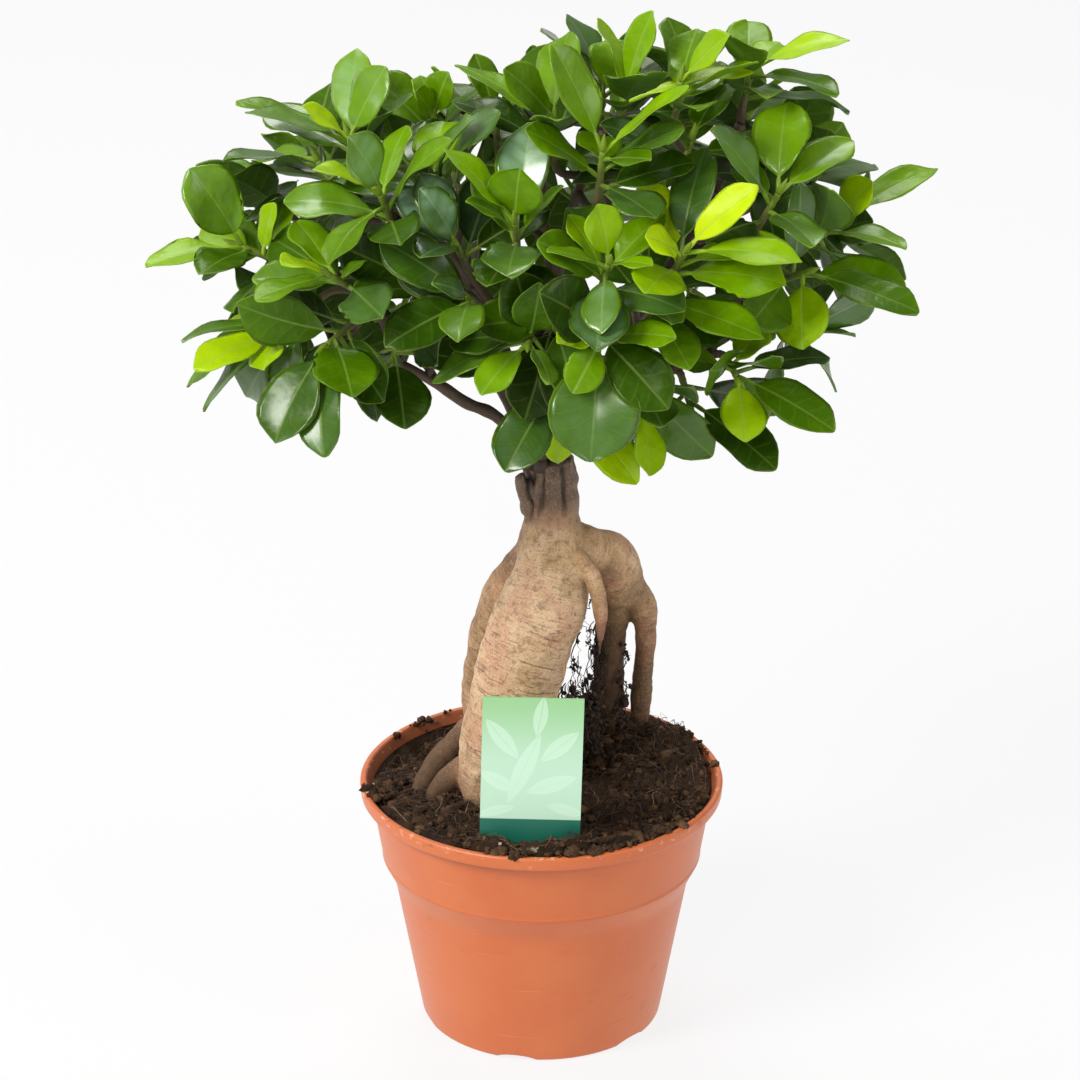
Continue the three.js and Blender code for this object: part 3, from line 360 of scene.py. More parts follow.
# Camera, and each area light with its place and size in metres
CAMERA_PLACE = (-0.0006, -1.60668, 0.90671)
CAMERA_AIM = (-0.0006, 0, 0.2131)
LIGHTS_AIM = (0, 0, 0.25)
LIGHTS = {
    "key": [(-1.42, -1.12, 1.7), 0.9],
    "front": [(-0.45, -1.9, 1.5), 0.45],
    "top": [(-0.2, 1.3, 2.2), 1.2],
    "fill": [(1.5, -0.9, 1.0), 1.0],
    "edge": [(-1.5, 0.75, 0.55), 1.1],
}
FLOOR_HALF = 8

# A leaf's rows along its midrib, and its corners across it, over the top and back below
LEAF_ROWS = np.array(
    [0, 0.07, 0.14, 0.18, 0.21, 0.25, 0.31, 0.39, 0.48, 0.57, 0.66, 0.75, 0.83, 0.89, 0.94, 0.97, 0.99]
)
LEAF_TOP = [-1, -0.82, -0.45, -0.12, 0, 0.12, 0.45, 0.82, 1]
LEAF_RING = np.array(LEAF_TOP + LEAF_TOP[-2:0:-1])

# Samples along a root and corners round it, points along a fine root and along a fibre
ROOT_SAMPLES = 70
ROOT_SIDES = 28
HAIR_STEPS = 22
FIBRE_STEPS = 12


# Numbers and shapes


def scramble(angle):
    """A repeatable draw from 0 to 1 for each number: the fraction of a large sine."""
    wave = np.sin(angle) * 43758.5453
    return wave - np.floor(wave)


def chance(number, channel):
    """The draw for a numbered thing and a channel, as in the part's source."""
    return scramble(number * 127.1 + channel * 311.7)


def unit(vectors):
    """The vectors at a length of 1."""
    return vectors / np.linalg.norm(vectors, axis=-1, keepdims=True)


def stacked(*parts):
    """The parts side by side along a last axis, each spread to the shape of all."""
    return np.stack(np.broadcast_arrays(*parts), axis=-1)


def smooth(low, high, value):
    """0 before low, 1 past high and an S-shaped rise between; low may be the larger."""
    part = np.clip((value - low) / (high - low), 0, 1)
    return part * part * (3 - 2 * part)


def rumple(points, size, seed=0):
    """Value noise from -1 to 1: draws on a lattice of the given size, blended smoothly between."""
    cell = np.asarray(points, float) / size
    low = np.floor(cell)
    part = smooth(0, 1, cell - low)
    total = 0
    for corner in itertools.product((0, 1), repeat=3):
        draw = scramble((low + corner) @ [127.1, 311.7, 74.7] + seed * 53.3)
        total = total + draw * np.where(corner, part, 1 - part).prod(axis=-1)
    return 2 * total - 1


def spline(points, t):
    """Catmull-Rom curve through the points at t from 0 to 1, its ends carried straight on."""
    points = np.asarray(points, float)
    padded = np.vstack([2 * points[0] - points[1], points, 2 * points[-1] - points[-2]])
    at = np.clip(t, 0, 1) * (len(points) - 1)
    first = np.minimum(at.astype(int), len(points) - 2)
    x = (at - first)[:, None]
    p0, p1, p2, p3 = (padded[first + i] for i in range(4))
    out, into = 0.5 * (p2 - p0), 0.5 * (p3 - p1)
    cubic = 2 * p1 - 2 * p2 + out + into
    return p1 + out * x + (3 * p2 - 3 * p1 - 2 * out - into) * x**2 + cubic * x**3


# Corners of a piece in millimetres, its faces of four and of three corners, and values per corner
Form = namedtuple("Form", "points quads tris values")


def joined(forms):
    """The forms as one, with the values that the first of them has."""
    starts = np.cumsum([0] + [len(form.points) for form in forms])
    return Form(
        np.vstack([form.points for form in forms]),
        np.vstack([form.quads + start for form, start in zip(forms, starts)]),
        np.vstack([form.tris + start for form, start in zip(forms, starts)]),
        {key: np.vstack([form.values[key] for form in forms]) for key in forms[0].values},
    )


def skin(rings, start, end, **values):
    """Closed tubes over rings of corners, strands by steps by corners: quads join neighbouring rings,
    and fans of triangles close both ends on one corner. Values are given per ring corner."""
    strands, steps, around = rings.shape[:3]
    stride = steps * around + 2
    points = np.concatenate([start[:, None], rings.reshape(strands, -1, 3), end[:, None]], axis=1)
    step, j = np.meshgrid(np.arange(steps - 1), np.arange(around), indexing="ij")
    a = 1 + step * around + j
    b = 1 + step * around + (j + 1) % around
    quads = stacked(a, b, b + around, a + around).reshape(1, -1, 4)
    j = np.arange(around)
    k = (j + 1) % around
    last = 1 + (steps - 1) * around
    tris = [stacked(0, 1 + k, 1 + j), stacked(stride - 1, last + j, last + k)]
    tris = np.concatenate(tris).reshape(1, -1, 3)
    shift = stride * np.arange(strands)[:, None, None]
    held = {}
    for key, value in values.items():
        value = np.broadcast_to(value, rings.shape[:3] + value.shape[3:])
        flat = value.reshape(strands, steps * around, -1)
        held[key] = np.concatenate([flat[:, :1], flat, flat[:, -around][:, None]], axis=1)
        held[key] = held[key].reshape(strands * stride, -1)
    quads = (quads + shift).reshape(-1, 4)
    return Form(points.reshape(-1, 3), quads, (tris + shift).reshape(-1, 3), held)


def sweep(paths, radii, sides, **values):
    """Round tubes along paths, strands by steps: a ring corner is the path's point plus the radius
    times side cos a + other sin a, where side and other lie square to the path."""
    paths = np.asarray(paths, float)
    radii = np.broadcast_to(radii, paths.shape[:2])[..., None, None]
    ways = unit(np.gradient(paths, axis=1))
    axis = np.eye(3)[np.abs(paths[:, -1] - paths[:, 0]).argmin(axis=1)][:, None]
    side = unit(axis - (axis * ways).sum(-1, keepdims=True) * ways)
    other = np.cross(ways, side)
    turn = (np.arange(sides) * 2 * np.pi / sides)[:, None]
    ring = np.cos(turn) * side[:, :, None] + np.sin(turn) * other[:, :, None]
    held = {key: value[:, :, None] for key, value in values.items()}
    return skin(paths[:, :, None] + radii * ring, paths[:, 0], paths[:, -1], **held)


def lathe(profile, around, **values):
    """A closed surface of revolution: the profile of [radius, height] runs from the axis to the axis,
    and a corner is [radius sin a, -radius cos a, height]."""
    profile = np.asarray(profile, float)
    turn = np.arange(around) * 2 * np.pi / around
    radius, height = profile[1:-1, 0, None], profile[1:-1, 1, None]
    rings = stacked(radius * np.sin(turn), -radius * np.cos(turn), height)
    start, end = (np.array([[0, 0, profile[i, 1]]]) for i in (0, -1))
    return skin(rings[None], start, end, **values)


def rounded(profile, sizes, steps=5):
    """The profile with each corner of a size above 0 replaced by a parabola that starts and ends
    that far from it."""
    profile = np.asarray(profile, float)
    made = []
    for i, (corner, size) in enumerate(zip(profile, sizes)):
        if not size:
            made.append(corner[None])
            continue
        before = corner + unit(profile[i - 1] - corner) * size
        after = corner + unit(profile[i + 1] - corner) * size
        t = np.linspace(0, 1, steps)[:, None]
        made.append((1 - t) ** 2 * before + 2 * t * (1 - t) * corner + t**2 * after)
    return np.vstack(made)


# Pieces


def new_object(name, data):
    """An object of the data, put in the scene."""
    made = bpy.data.objects.new(name, data)
    bpy.context.scene.collection.objects.link(made)
    return made


def make_object(name, form, material):
    """A mesh object of the form, smooth, with its values as attributes."""
    mesh = bpy.data.meshes.new(name)
    mesh.from_pydata((form.points * MM).tolist(), [], form.quads.tolist() + form.tris.tolist())
    mesh.polygons.foreach_set("use_smooth", np.ones(len(mesh.polygons), bool))
    add_values(mesh, form.values)
    mesh.materials.append(material)
    made = new_object(name, mesh)
    return made


def add_values(mesh, values):
    """Keeps values per corner as attributes: one number each, or three."""
    for key, value in values.items():
        kind, field = ("FLOAT", "value") if value.shape[1] == 1 else ("FLOAT_VECTOR", "vector")
        mesh.attributes.new(key, kind, "POINT").data.foreach_set(field, value.astype(np.float32).ravel())


def apply_modifiers(made):
    """Puts the finished mesh in place of the mesh and its modifiers."""
    graph = bpy.context.evaluated_depsgraph_get()
    mesh = bpy.data.meshes.new_from_object(made.evaluated_get(graph))
    made.modifiers.clear()
    old = made.data
    made.data = mesh
    bpy.data.meshes.remove(old)


def mesh_points(mesh):
    """The mesh's corners in millimetres."""
    points = np.empty(len(mesh.vertices) * 3)
    mesh.vertices.foreach_get("co", points)
    return points.reshape(-1, 3) * METRE


def finish_piece(made, *nodes):
    """Lets the piece ride on the plant and stand for the nodes."""
    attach(made, "root")
    if nodes:
        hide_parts(*nodes)


# Materials


class Sock:
    """A socket with maths written as expressions; each adds a Math node."""

    def __init__(self, shade, socket):
        self.shade = shade
        self.socket = socket

    def math(self, operation, *others):
        return self.shade.add("Math", dict(enumerate([self, *others])), operation=operation)

    def __add__(self, other):
        return self.math("ADD", other)

    def __sub__(self, other):
        return self.math("SUBTRACT", other)

    def __mul__(self, other):
        return self.math("MULTIPLY", other)

    def __truediv__(self, other):
        return self.math("DIVIDE", other)

    def __pow__(self, other):
        return self.math("POWER", other)

    __radd__ = __add__
    __rmul__ = __mul__

    def __rsub__(self, other):
        return self.shade.add("Math", {0: other, 1: self}, operation="SUBTRACT")

    def __abs__(self):
        return self.math("ABSOLUTE")

    def rise(self, low, high):
        """0 below low, 1 above high and an S-shaped rise between; falls if low is above high."""
        if low > high:
            return 1 - self.rise(high, low)
        inputs = {"Value": self, "From Min": low, "From Max": high}
        return self.shade.add("MapRange", inputs, interpolation_type="SMOOTHSTEP")

    def part(self, axis):
        """One part of a vector."""
        return self.shade.add("SeparateXYZ", {"Vector": self}, axis)

    def parts(self):
        """The three parts of a vector."""
        return [self.part(axis) for axis in range(3)]

    def stretch(self, x, y, z):
        """A vector with each part multiplied by its own number."""
        return self.shade.add("VectorMath", {0: self, 1: (x, y, z)}, operation="MULTIPLY")


class Shade:
    """A material's nodes round one Principled shader."""

    def __init__(self, name):
        self.material = bpy.data.materials.new(name)
        self.material.use_nodes = True
        self.tree = self.material.node_tree
        self.surface = self.tree.nodes["Principled BSDF"]

    def add(self, kind, inputs, out=0, **settings):
        """A node of a kind, with its settings first and then the values or links of its sockets."""
        node = self.tree.nodes.new("ShaderNode" + kind)
        for key, value in settings.items():
            setattr(node, key, value)
        for key, value in inputs.items():
            self.feed(node.inputs[key], value)
        return Sock(self, node.outputs[out])

    def feed(self, socket, value):
        """Links a socket to another, or sets its value."""
        if isinstance(value, Sock):
            self.tree.links.new(value.socket, socket)
        else:
            socket.default_value = value

    def set(self, **inputs):
        """Feeds the Principled shader: base_color=, roughness=, coat_weight= and so on."""
        for key, value in inputs.items():
            self.feed(self.surface.inputs[key.replace("_", " ").title().replace("Ior", "IOR")], value)

    def place(self):
        """Object coordinates in millimetres."""
        return self.add("TexCoord", {}, "Object").stretch(METRE, METRE, METRE)

    def value(self, name, out="Vector"):
        """An attribute of the mesh."""
        return self.add("Attribute", {}, out, attribute_name=name)

    def noise(self, at, size, detail=3, roughness=0.55):
        """Noise from 0 to 1 with features of about that size in millimetres."""
        inputs = {"Vector": at, "Scale": 1 / size, "Detail": detail, "Roughness": roughness}
        return self.add("TexNoise", inputs)

    def ramp(self, stops, at):
        """A colour ramp at a value; each stop is [place, sRGB colour]."""
        made = self.add("ValToRGB", {"Fac": at})
        elements = made.socket.node.color_ramp.elements
        while len(elements) < len(stops):
            elements.new(0.5)
        for element, (place, colour) in zip(elements, stops):
            element.position = place
            element.color = linear(colour)
        return made

    def mix(self, factor, a, b):
        """Colour a where the factor is 0 and b where it is 1."""
        return self.add("Mix", {0: factor, 6: linear(a), 7: linear(b)}, 2, data_type="RGBA")

    def layers(self, colour, *coats):
        """The colour under thin coats, the last on top: (where, how much, colour)."""
        for mask, share, coat in coats:
            colour = self.mix(mask * share, colour, coat)
        return colour

    def bump(self, height, distance, strength=1.0):
        """A bump of that many millimetres for a height from 0 to 1."""
        inputs = {"Height": height, "Distance": distance * MM, "Strength": strength}
        self.set(normal=self.add("Bump", inputs))


def linear(colour):
    """An sRGB colour of three numbers from 0 to 255 as a linear colour; a socket or colour as it is."""
    if isinstance(colour, Sock) or len(colour) == 4:
        return colour
    part = np.asarray(colour, float) / 255
    made = np.where(part <= 0.04045, part / 12.92, ((part + 0.055) / 1.055) ** 2.4)
    return (*made.tolist(), 1.0)


# Leaves


def heading_of(place):
    """Where a twig's tip points: out of the crown, and more upwards near its top."""
    way = (place - CROWN_CENTRE) / CROWN_REACH**2
    return unit(unit(way) + UP * 0.6 * np.clip((place[2] - 290) / 60, 0, 1))


def clock_way(clock, lean):
    """A way from its clock angle in the front view and its lean towards the viewer."""
    clock, lean = np.radians(clock), np.radians(lean)
    seen = np.cos(clock) * np.array([1, 0, 0]) + np.sin(clock) * SEEN_UP
    return np.cos(lean) * seen + np.sin(lean) * FRONT


def twig_path(curve, first, place, heading, leaves):
    """The start, bend and joint of a twig that leaves the bough where its way is short and bends
    little, and ends in a straight stem with a leaf at each step of its spacing."""
    steps = [BOUGH_STEPS] if first else range(FIRST_TWIG_STEP, BOUGH_STEPS + 1)
    shares = np.array(steps) / BOUGH_STEPS
    starts = spline(curve, shares)
    ahead = spline(curve, shares + 1e-4) - spline(curve, shares - 1e-4)
    way = place - starts
    far = np.linalg.norm(way, axis=1)
    cost = far * (1.7 - (way / far[:, None] * unit(ahead)).sum(axis=1))
    start = starts[cost.argmin()]
    spaces = leaves - 1
    spacing = min(LEAF_SPACING, 0.62 * np.linalg.norm(start - place) / spaces)
    joint = place - heading * spacing * spaces
    bend = joint - heading * 0.45 * np.linalg.norm(start - joint)
    return start, bend, joint, spacing


def set_leaf_choices(entry, root, place):
    """The ways in which a set leaf may lie: chord, facing and width for each size, nod and swing."""
    clock, lean, length, width, roll, _ = entry
    turn = math.radians(roll)
    for shrink, nod, swing in itertools.product((1, 0.9), (0, 14, -14, 28, -28), (0, 7, -7, 14, -14)):
        chord = place + clock_way(clock + swing, lean + nod) * length * shrink - root
        ahead = unit(chord)
        broad = unit(FRONT - ahead * (FRONT @ ahead))
        edge = np.cross(ahead, broad)
        edge = -edge if edge[2] < 0 else edge
        yield chord, broad * math.cos(turn) + edge * math.sin(turn), width * shrink


def rule_leaf(draw, slot, above, tone):
    """How far a leaf by rule opens from the stem, its length, width and colour: lower on the shoot
    leaves open wider, are larger and are older. Above it are so many set leaves."""
    order = slot - above
    opening = OPENINGS[min(6, order + min(2, above))]
    length = (LEAF_LENGTH + LEAF_SPREAD * draw(1)) * GROWTH[min(3, slot)]
    width = length * (LEAF_RATIO + 0.1 * (draw(2) - 0.5))
    shade = np.clip(tone * 0.6 + 0.5 - 0.6 * order + 1.8 * (draw(9) - 0.5), 0, 6)
    return opening, length, width, shade


def rule_leaf_choices(draw, heading, around, opening, length, width):
    """The ways in which a leaf by rule may lie, round the stem and open from it by angles: chord,
    facing and width for each size, nod and swing."""
    side = unit(np.cross([0, 1, 0], heading))
    other = np.cross(heading, side)
    swings = (0, 24, -24, 48, -48, 72, -72)
    for shrink, nod, swing in itertools.product((1, 0.86), (0, -18, 18), swings):
        turn = math.radians(around + swing)
        tilt = math.radians(opening + nod + 10 * (draw(4) - 0.5))
        out = side * math.cos(turn) + other * math.sin(turn)
        way = heading * math.cos(tilt) + out * math.sin(tilt)
        facing = heading + 0.5 * UP + np.cross(way, heading) * 0.5 * (draw(5) - 0.5)
        yield way * length * shrink, facing, width * shrink


def leaf_sheen(middle, facing, tone, seed):
    """How much a leaf shines: fully where it lies at a shiny place and faces the viewer, and else by
    draw, and less for young leaves."""
    seen = np.array([middle[0], (middle - SEEN_MIDDLE) @ SEEN_UP])
    far = np.linalg.norm(SHINY_PLACES[:, :2] - seen, axis=1)
    if far.min() < SHINE_REACH and unit(facing) @ FRONT > 0.2:
        return SHINY_PLACES[far.argmin(), 2]
    return 0.6 * smooth(0.5, 0.85, seed * 7.3 % 1) * smooth(6, 4, tone)


def bough_layout(name, number):
    """The line of a bough, its twigs and its leaves, its shoots counted on from number: each leaf is
    one of its possible ways to lie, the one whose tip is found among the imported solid's corners."""
    foot, route, *shoots = BOUGHS[name]
    packed = mesh_points(bpy.data.objects[name].data)
    curve = np.array([[*foot, STUB_TOP + FIT_GAP], [*foot, STUB_TOP + 5], *route], float)
    twigs, leaves = [], []
    for shoot, (place, tone, by_rule, *chosen) in enumerate(shoots, number):
        place = np.array(place, float)
        heading = heading_of(place)
        count = by_rule + len(chosen)
        start, bend, joint, spacing = twig_path(curve, shoot == number, place, heading, count)
        twigs.append((start, bend, joint, place))
        chosen = sorted(chosen, key=lambda entry: -(clock_way(entry[0], entry[1]) @ heading))
        bending = math.radians(LEAF_BEND * (0.5 + chance(shoot, 6)))
        for slot in range(count):
            root = place - heading * spacing * max(0.2, slot - 0.5)
            draw = partial(chance, shoot * 16 + slot)
            if slot < len(chosen):
                shade = chosen[slot][-1]
                choices = set_leaf_choices(chosen[slot], root, place)
            else:
                *size, shade = rule_leaf(draw, slot, len(chosen), tone)
                around = GOLDEN_TURN * (slot + 1) + 360 * chance(shoot, 3)
                choices = rule_leaf_choices(draw, heading, around, *size)
            for chord, facing, width in choices:
                if np.abs(packed - root - chord).max(axis=1).min() < LEAF_MATCH:
                    seed = draw(10)
                    sheen = leaf_sheen(root + chord * 0.6, facing, shade, seed)
                    leaves.append((root, chord, facing, width, bending, shade, seed, sheen))
                    break
    return curve, twigs, leaves


def blade_share(t):
    """Half width of a blade as a share of its largest: x^0.8 (1-x)^0.65, x from 0 to 1 past the stalk,
    drawn in a little towards the tip."""
    x = np.clip((t - STALK_SHARE) / (1 - STALK_SHARE), 0, 1)
    return x**0.8 * (1 - x) ** 0.65 / 0.383 * (1 - 0.3 * smooth(0.82, 1, x))


def leaf_form(leaves, thickness):
    """Closed leaves: along a bent midrib run a round stalk and then a blade whose half width follows
    blade_share. A corner lies at t on the bent midrib, moved across it by v half widths and lifted by
    the cup of the blade, its groove over the midrib, a slow wave near the margin and half the
    thickness; top corners run v from -1 to 1 and the lower ones back."""
    base, chord, facing, width, bend, tone, seed, sheen = (np.array(part) for part in zip(*leaves))
    ahead = unit(chord)
    face = unit(facing - ahead * (facing * ahead).sum(axis=1, keepdims=True))
    half = bend[:, None] / 2
    along = np.cos(half) * ahead + np.sin(half) * face
    face = np.cos(half) * face - np.sin(half) * ahead
    across = np.cross(along, face)
    length = np.linalg.norm(chord, axis=1) * half[:, 0] / np.sin(half[:, 0])
    radius = (length / bend)[:, None, None]
    t = LEAF_ROWS[None]
    turn = (bend[:, None] * t)[..., None]
    out = np.sin(turn) * along[:, None] - (1 - np.cos(turn)) * face[:, None]
    above = np.sin(turn) * along[:, None] + np.cos(turn) * face[:, None]
    middle = base[:, None] + radius * out
    v = LEAF_RING
    edge = np.abs(v)
    clock = np.pi - np.arange(len(v)) * 2 * np.pi / len(v)
    under = (np.sin(clock) < -0.01).astype(float)
    level = np.sign(np.round(np.sin(clock), 6))
    t = t[..., None]
    grown = smooth(STALK_SHARE - 0.04, STALK_SHARE + 0.06, t)
    stalk = 0.95 - 0.2 * t
    blade = (width[:, None] * BLADE_FULLNESS / 2)[..., None] * blade_share(t)
    spread = blade * v * grown + np.cos(clock) * stalk * (1 - grown)
    phase = seed[:, None, None] * 40
    wave = np.sin(9 * t + phase) * np.sign(v) + np.sin(13 * t + 2 * phase)
    lift = LEAF_CUP * blade * edge**1.5 + 0.042 * width[:, None, None] * wave * edge**2
    rib = np.exp(-((v * blade / 0.9) ** 2)) * (1 - 0.75 * t)
    lift = lift + level * thickness * (1 - 0.55 * edge) - np.where(under > 0, 0.65, 0.3) * rib
    lift = lift * grown + np.sin(clock) * stalk * (1 - grown)
    rings = middle[:, :, None] + spread[..., None] * across[:, None, None]
    rings = rings + lift[..., None] * above[:, :, None]
    start = base - along * 0.4
    end = base + radius[:, 0] * (np.sin(bend)[:, None] * along - (1 - np.cos(bend))[:, None] * face)
    tone = tone + (seed - 0.5) * 0.9
    values = {
        "across": stacked(spread, t * length[:, None, None], under),
        "look": stacked(tone[:, None, None], sheen[:, None, None], blade * (1 - edge)),
    }
    return skin(rings, start, end, **values)


def wood_form(curve, twigs, thick, radius):
    """The bough, its twigs with a swelling at each leaf, and a pointed bud at each tip. Age runs from
    0 for old brown bark up to 1 for a green twig."""
    steps = np.linspace(0, 1, 48)
    path = spline(curve, steps)
    path[0] -= UP * 3
    swollen = 1 + 0.12 * rumple(np.outer(steps, [40, 0, 0]), 2.2, 3)
    radii = thick * (1 - 0.35 * steps) * swollen
    bough = sweep(path[None], radii, 12, age=steps[None, :, None] * 0.25)
    start, bend, joint, place = (np.array(ends)[:, None] for ends in zip(*twigs))
    t = np.linspace(0, 1, 17)[None, :, None]
    curved = (1 - t) ** 2 * start + 2 * t * (1 - t) * bend + t**2 * joint
    t = np.linspace(0, 1, 15)[None, 1:, None]
    paths = np.concatenate([curved, joint + t * (place - joint)], axis=1)
    share = np.linspace(0, 1, paths.shape[1])
    knots = 0.16 * np.abs(np.sin(share * np.pi * 9)) ** 6
    stems = sweep(paths, radius * (1 - 0.28 * share) + knots, 9, age=share[None, :, None])
    length, girth = np.array(BUD).T
    tips = place[:, 0, None] + unit(place - joint) * (8 * length)[None, :, None]
    buds = sweep(tips, girth, 8, age=np.full((1, 1, 1), 1.2))
    return joined([bough, stems, buds])


# The trunk


def root_lines():
    """Each root as samples along its smooth line: place, radius and way from its crown."""
    lines = []
    for points in ROOTS.values():
        line = spline(np.array(points, float), np.linspace(0, 1, ROOT_SAMPLES))
        walk = np.concatenate([[0], np.cumsum(np.linalg.norm(np.diff(line[:, :3], axis=0), axis=1))])
        lines.append((line[:, :3], line[:, 3], walk))
    return lines


def bark_values(points, lines):
    """Per point: the way down its nearest root and the way round it, in mm, a number of that root, and
    shares of pale skin, of rough stub bark and of soil stain, blended where roots meet, and a share
    that falls to 0 there."""
    far, down, around = [], [], []
    for line, radii, walk in lines:
        nearest = np.full(len(points), 1e9)
        best = np.zeros(len(points), int)
        for i, (centre, radius) in enumerate(zip(line, radii)):
            gap = np.linalg.norm(points - centre, axis=1) - radius
            closer = gap < nearest
            nearest[closer] = gap[closer]
            best[closer] = i
        ways = unit(np.gradient(line, axis=0))[best]
        off = points - line[best]
        side = unit(ways * ways[:, 1:2] - [0.0, 1, 0])
        other = np.cross(ways, side)
        turn = np.arctan2((off * other).sum(axis=1), (off * side).sum(axis=1))
        far.append(nearest)
        down.append(walk[best] + (off * ways).sum(axis=1))
        around.append(turn * radii[best])
    far = np.array(far)
    first = far.argmin(axis=0)
    pick = first, np.arange(len(points))
    weight = np.exp(-(far - far.min(axis=0)) / 1.6)
    weight /= weight.sum(axis=0)
    grip = smooth(0.5, 0.97, weight.max(axis=0))
    tones = np.array([BARK_TONES[key] for key in ROOTS])
    pale, stub, foot = (weight.T @ tones).T
    limbs = dict(zip(ROOTS, weight))
    x, _, z = points.T
    # Painted light: the front leg paler near its top, where the crown's shade falls on it
    pale += 0.16 * limbs["front_leg"] * smooth(186, 202, z)
    pale -= 0.14 * limbs["left_leg"] * smooth(176, 188, z)
    # Painted shade: the right lobe darker in the hollow beside the hanging root
    pale -= 0.42 * limbs["right_lobe"] * smooth(37, 25, x) * smooth(212, 200, z)
    pale -= 0.55 * limbs["hanging_root"] * smooth(203, 176, z)
    pale -= 0.12 * smooth(207, 215, z)
    track = stacked(np.array(down)[pick], np.array(around)[pick], first * ROOT_MARK)
    stain = smooth(122, 102, z) * 0.55 + foot * smooth(198, 138, z)
    stub = stub * smooth(219, 225, z + 1.5 * rumple(points * [1, 1, 0.3], 3, 21))
    return track, stacked(pale, stub, stain), grip


def trunk_mesh(voxel):
    """The roots as round tubes, grown together on a grid of cubes and smoothed."""
    tubes = [sweep(line[None], radii[None], ROOT_SIDES) for line, radii, _ in root_lines()]
    made = make_object("trunk_bark", joined(tubes), bark_material())
    grid = made.modifiers.new("grow_together", "REMESH")
    grid.mode = "VOXEL"
    grid.voxel_size = voxel
    grid.use_smooth_shade = True
    even = made.modifiers.new("even_out", "SMOOTH")
    even.factor = 0.5
    even.iterations = 12
    apply_modifiers(made)
    return made


def roughen_bark(made, depth):
    """Moves each corner along its normal by bark relief: wide dents, folds across the root, ridges
    along it, and long plates with cracks between them on the cut stub."""
    points = mesh_points(made.data)
    normals = np.empty(points.size)
    made.data.vertices.foreach_get("normal", normals)
    normals = normals.reshape(-1, 3)
    track, tone, grip = bark_values(points, root_lines())
    down, around, limb = track.T

    def stretched(wide, long, seed):
        """Noise with features so wide round the root and so long down it."""
        return rumple(stacked(around / wide, down / long, limb), 1, seed)

    relief = 1.1 * rumple(points, 19, 7) + 0.5 * rumple(points, 7, 8)
    relief += (0.3 * stretched(14, 3.4, 1) + 0.24 * stretched(3.2, 20, 2)) * grip
    relief += 0.14 * rumple(points, 2, 12)
    x, y, z = points.T
    torn = np.abs(x + 4.6 + 0.8 * rumple(points * [0, 0, 1], 4, 13) - 0.14 * (236 - z))
    torn = torn + 9 * smooth(-4, 0, y)
    gaps = 0.8 - 0.8 * smooth(0.02, 0.1, np.abs(stretched(4.6, 60, 9)))
    crack = np.maximum(gaps, (1 - smooth(0.15, 1, torn)) * smooth(222, 230, z))
    ledges = 0.7 * rumple(points * [1, 1, 0.4], 2.6, 4) + rumple(points * [1, 1, 1.6], 6, 11)
    relief += tone[:, 1] * (0.9 * ledges - 1.2 * crack)
    moved = points + normals * (relief * depth + 0.45)[:, None]
    made.data.vertices.foreach_set("co", (moved * MM).ravel())
    add_values(made.data, {"track": track, "tone": tone, "relief": stacked(relief, crack, grip)})
    made.data.update()


def root_hairs():
    """Thin roots between the legs: each hangs from its start to a lower end along a wandering line,
    with beads of soil and, near points drawn along them, lumps of it that are larger low down."""
    random = np.random.default_rng(5)
    paths = []
    steps = np.linspace(0, 1, HAIR_STEPS)[:, None]
    for count, start, start_spread, end, end_spread in HAIR_ROWS:
        for _ in range(count):
            share = random.uniform(0, 1)
            high, low = (np.array(a) * (1 - share) + np.array(b) * share for a, b in (start, end))
            high = high + random.uniform(-1, 1, 3) * start_spread
            low = low + random.uniform(-1, 1, 3) * end_spread
            sway = np.cumsum(random.normal(0, 0.75, (HAIR_STEPS, 3)), axis=0)
            sway -= sway[-1] * steps * 0.6
            sag = UP * random.uniform(0, 4) * np.sin(np.pi * steps)
            paths.append(high * (1 - steps) + low * steps + sway * [1, 1, 0.5] - sag)
    paths = np.array(paths)
    paths[..., 2] = np.maximum(paths[..., 2], top_height(paths[..., 0], paths[..., 1]) - 1)
    thin = random.uniform(0.1, 0.3, (len(paths), 1)) * np.linspace(1, 0.6, HAIR_STEPS)
    beads = 1 + 0.8 * smooth(0.3, 0.8, rumple(paths, 3.2, 2))
    random = np.random.default_rng(8)
    pick = paths.reshape(-1, 3)[random.permutation(paths[..., 0].size)[:150]]
    low = smooth(185, 130, pick[:, 2])
    spread = (0.3 + 0.9 * low)[:, None, None] * random.normal(0, 1, (len(pick), 6, 3))
    size = random.uniform(0.15, 0.35 + 0.85 * low[:, None], (len(pick), 6))
    clods = blobs((pick[:, None] + spread).reshape(-1, 3), size.ravel(), random, 1.1)
    return joined([sweep(paths, thin * beads, 6), clods])


# Soil


def raised(high, x, y, rises):
    """The height with rises added to it: each is a bell with [x, y, spread, height]."""
    for centre_x, centre_y, spread, rise in rises:
        far = (x - centre_x) ** 2 + (y - centre_y) ** 2
        high = high + rise * np.exp(-far / (2 * spread**2))
    return high


def top_height(x, y):
    """The soil's uneven top as in the part's source, with the small mounds on it."""
    high = raised(SOIL_LEVEL, x, y, SOIL_RISES)
    high = high + 1.2 * np.sin(0.21 * x + 1.3) * np.cos(0.19 * y - 0.4)
    high = high + 0.7 * np.sin(0.43 * x - 0.31 * y)
    return high + raised(0, x, y, MOUNDS)


def inner_radius(z):
    """The pot's inner wall less the fit gap."""
    radii, heights, _ = np.array(INNER_WALL[::-1]).T
    return np.interp(z, heights, radii) - FIT_GAP


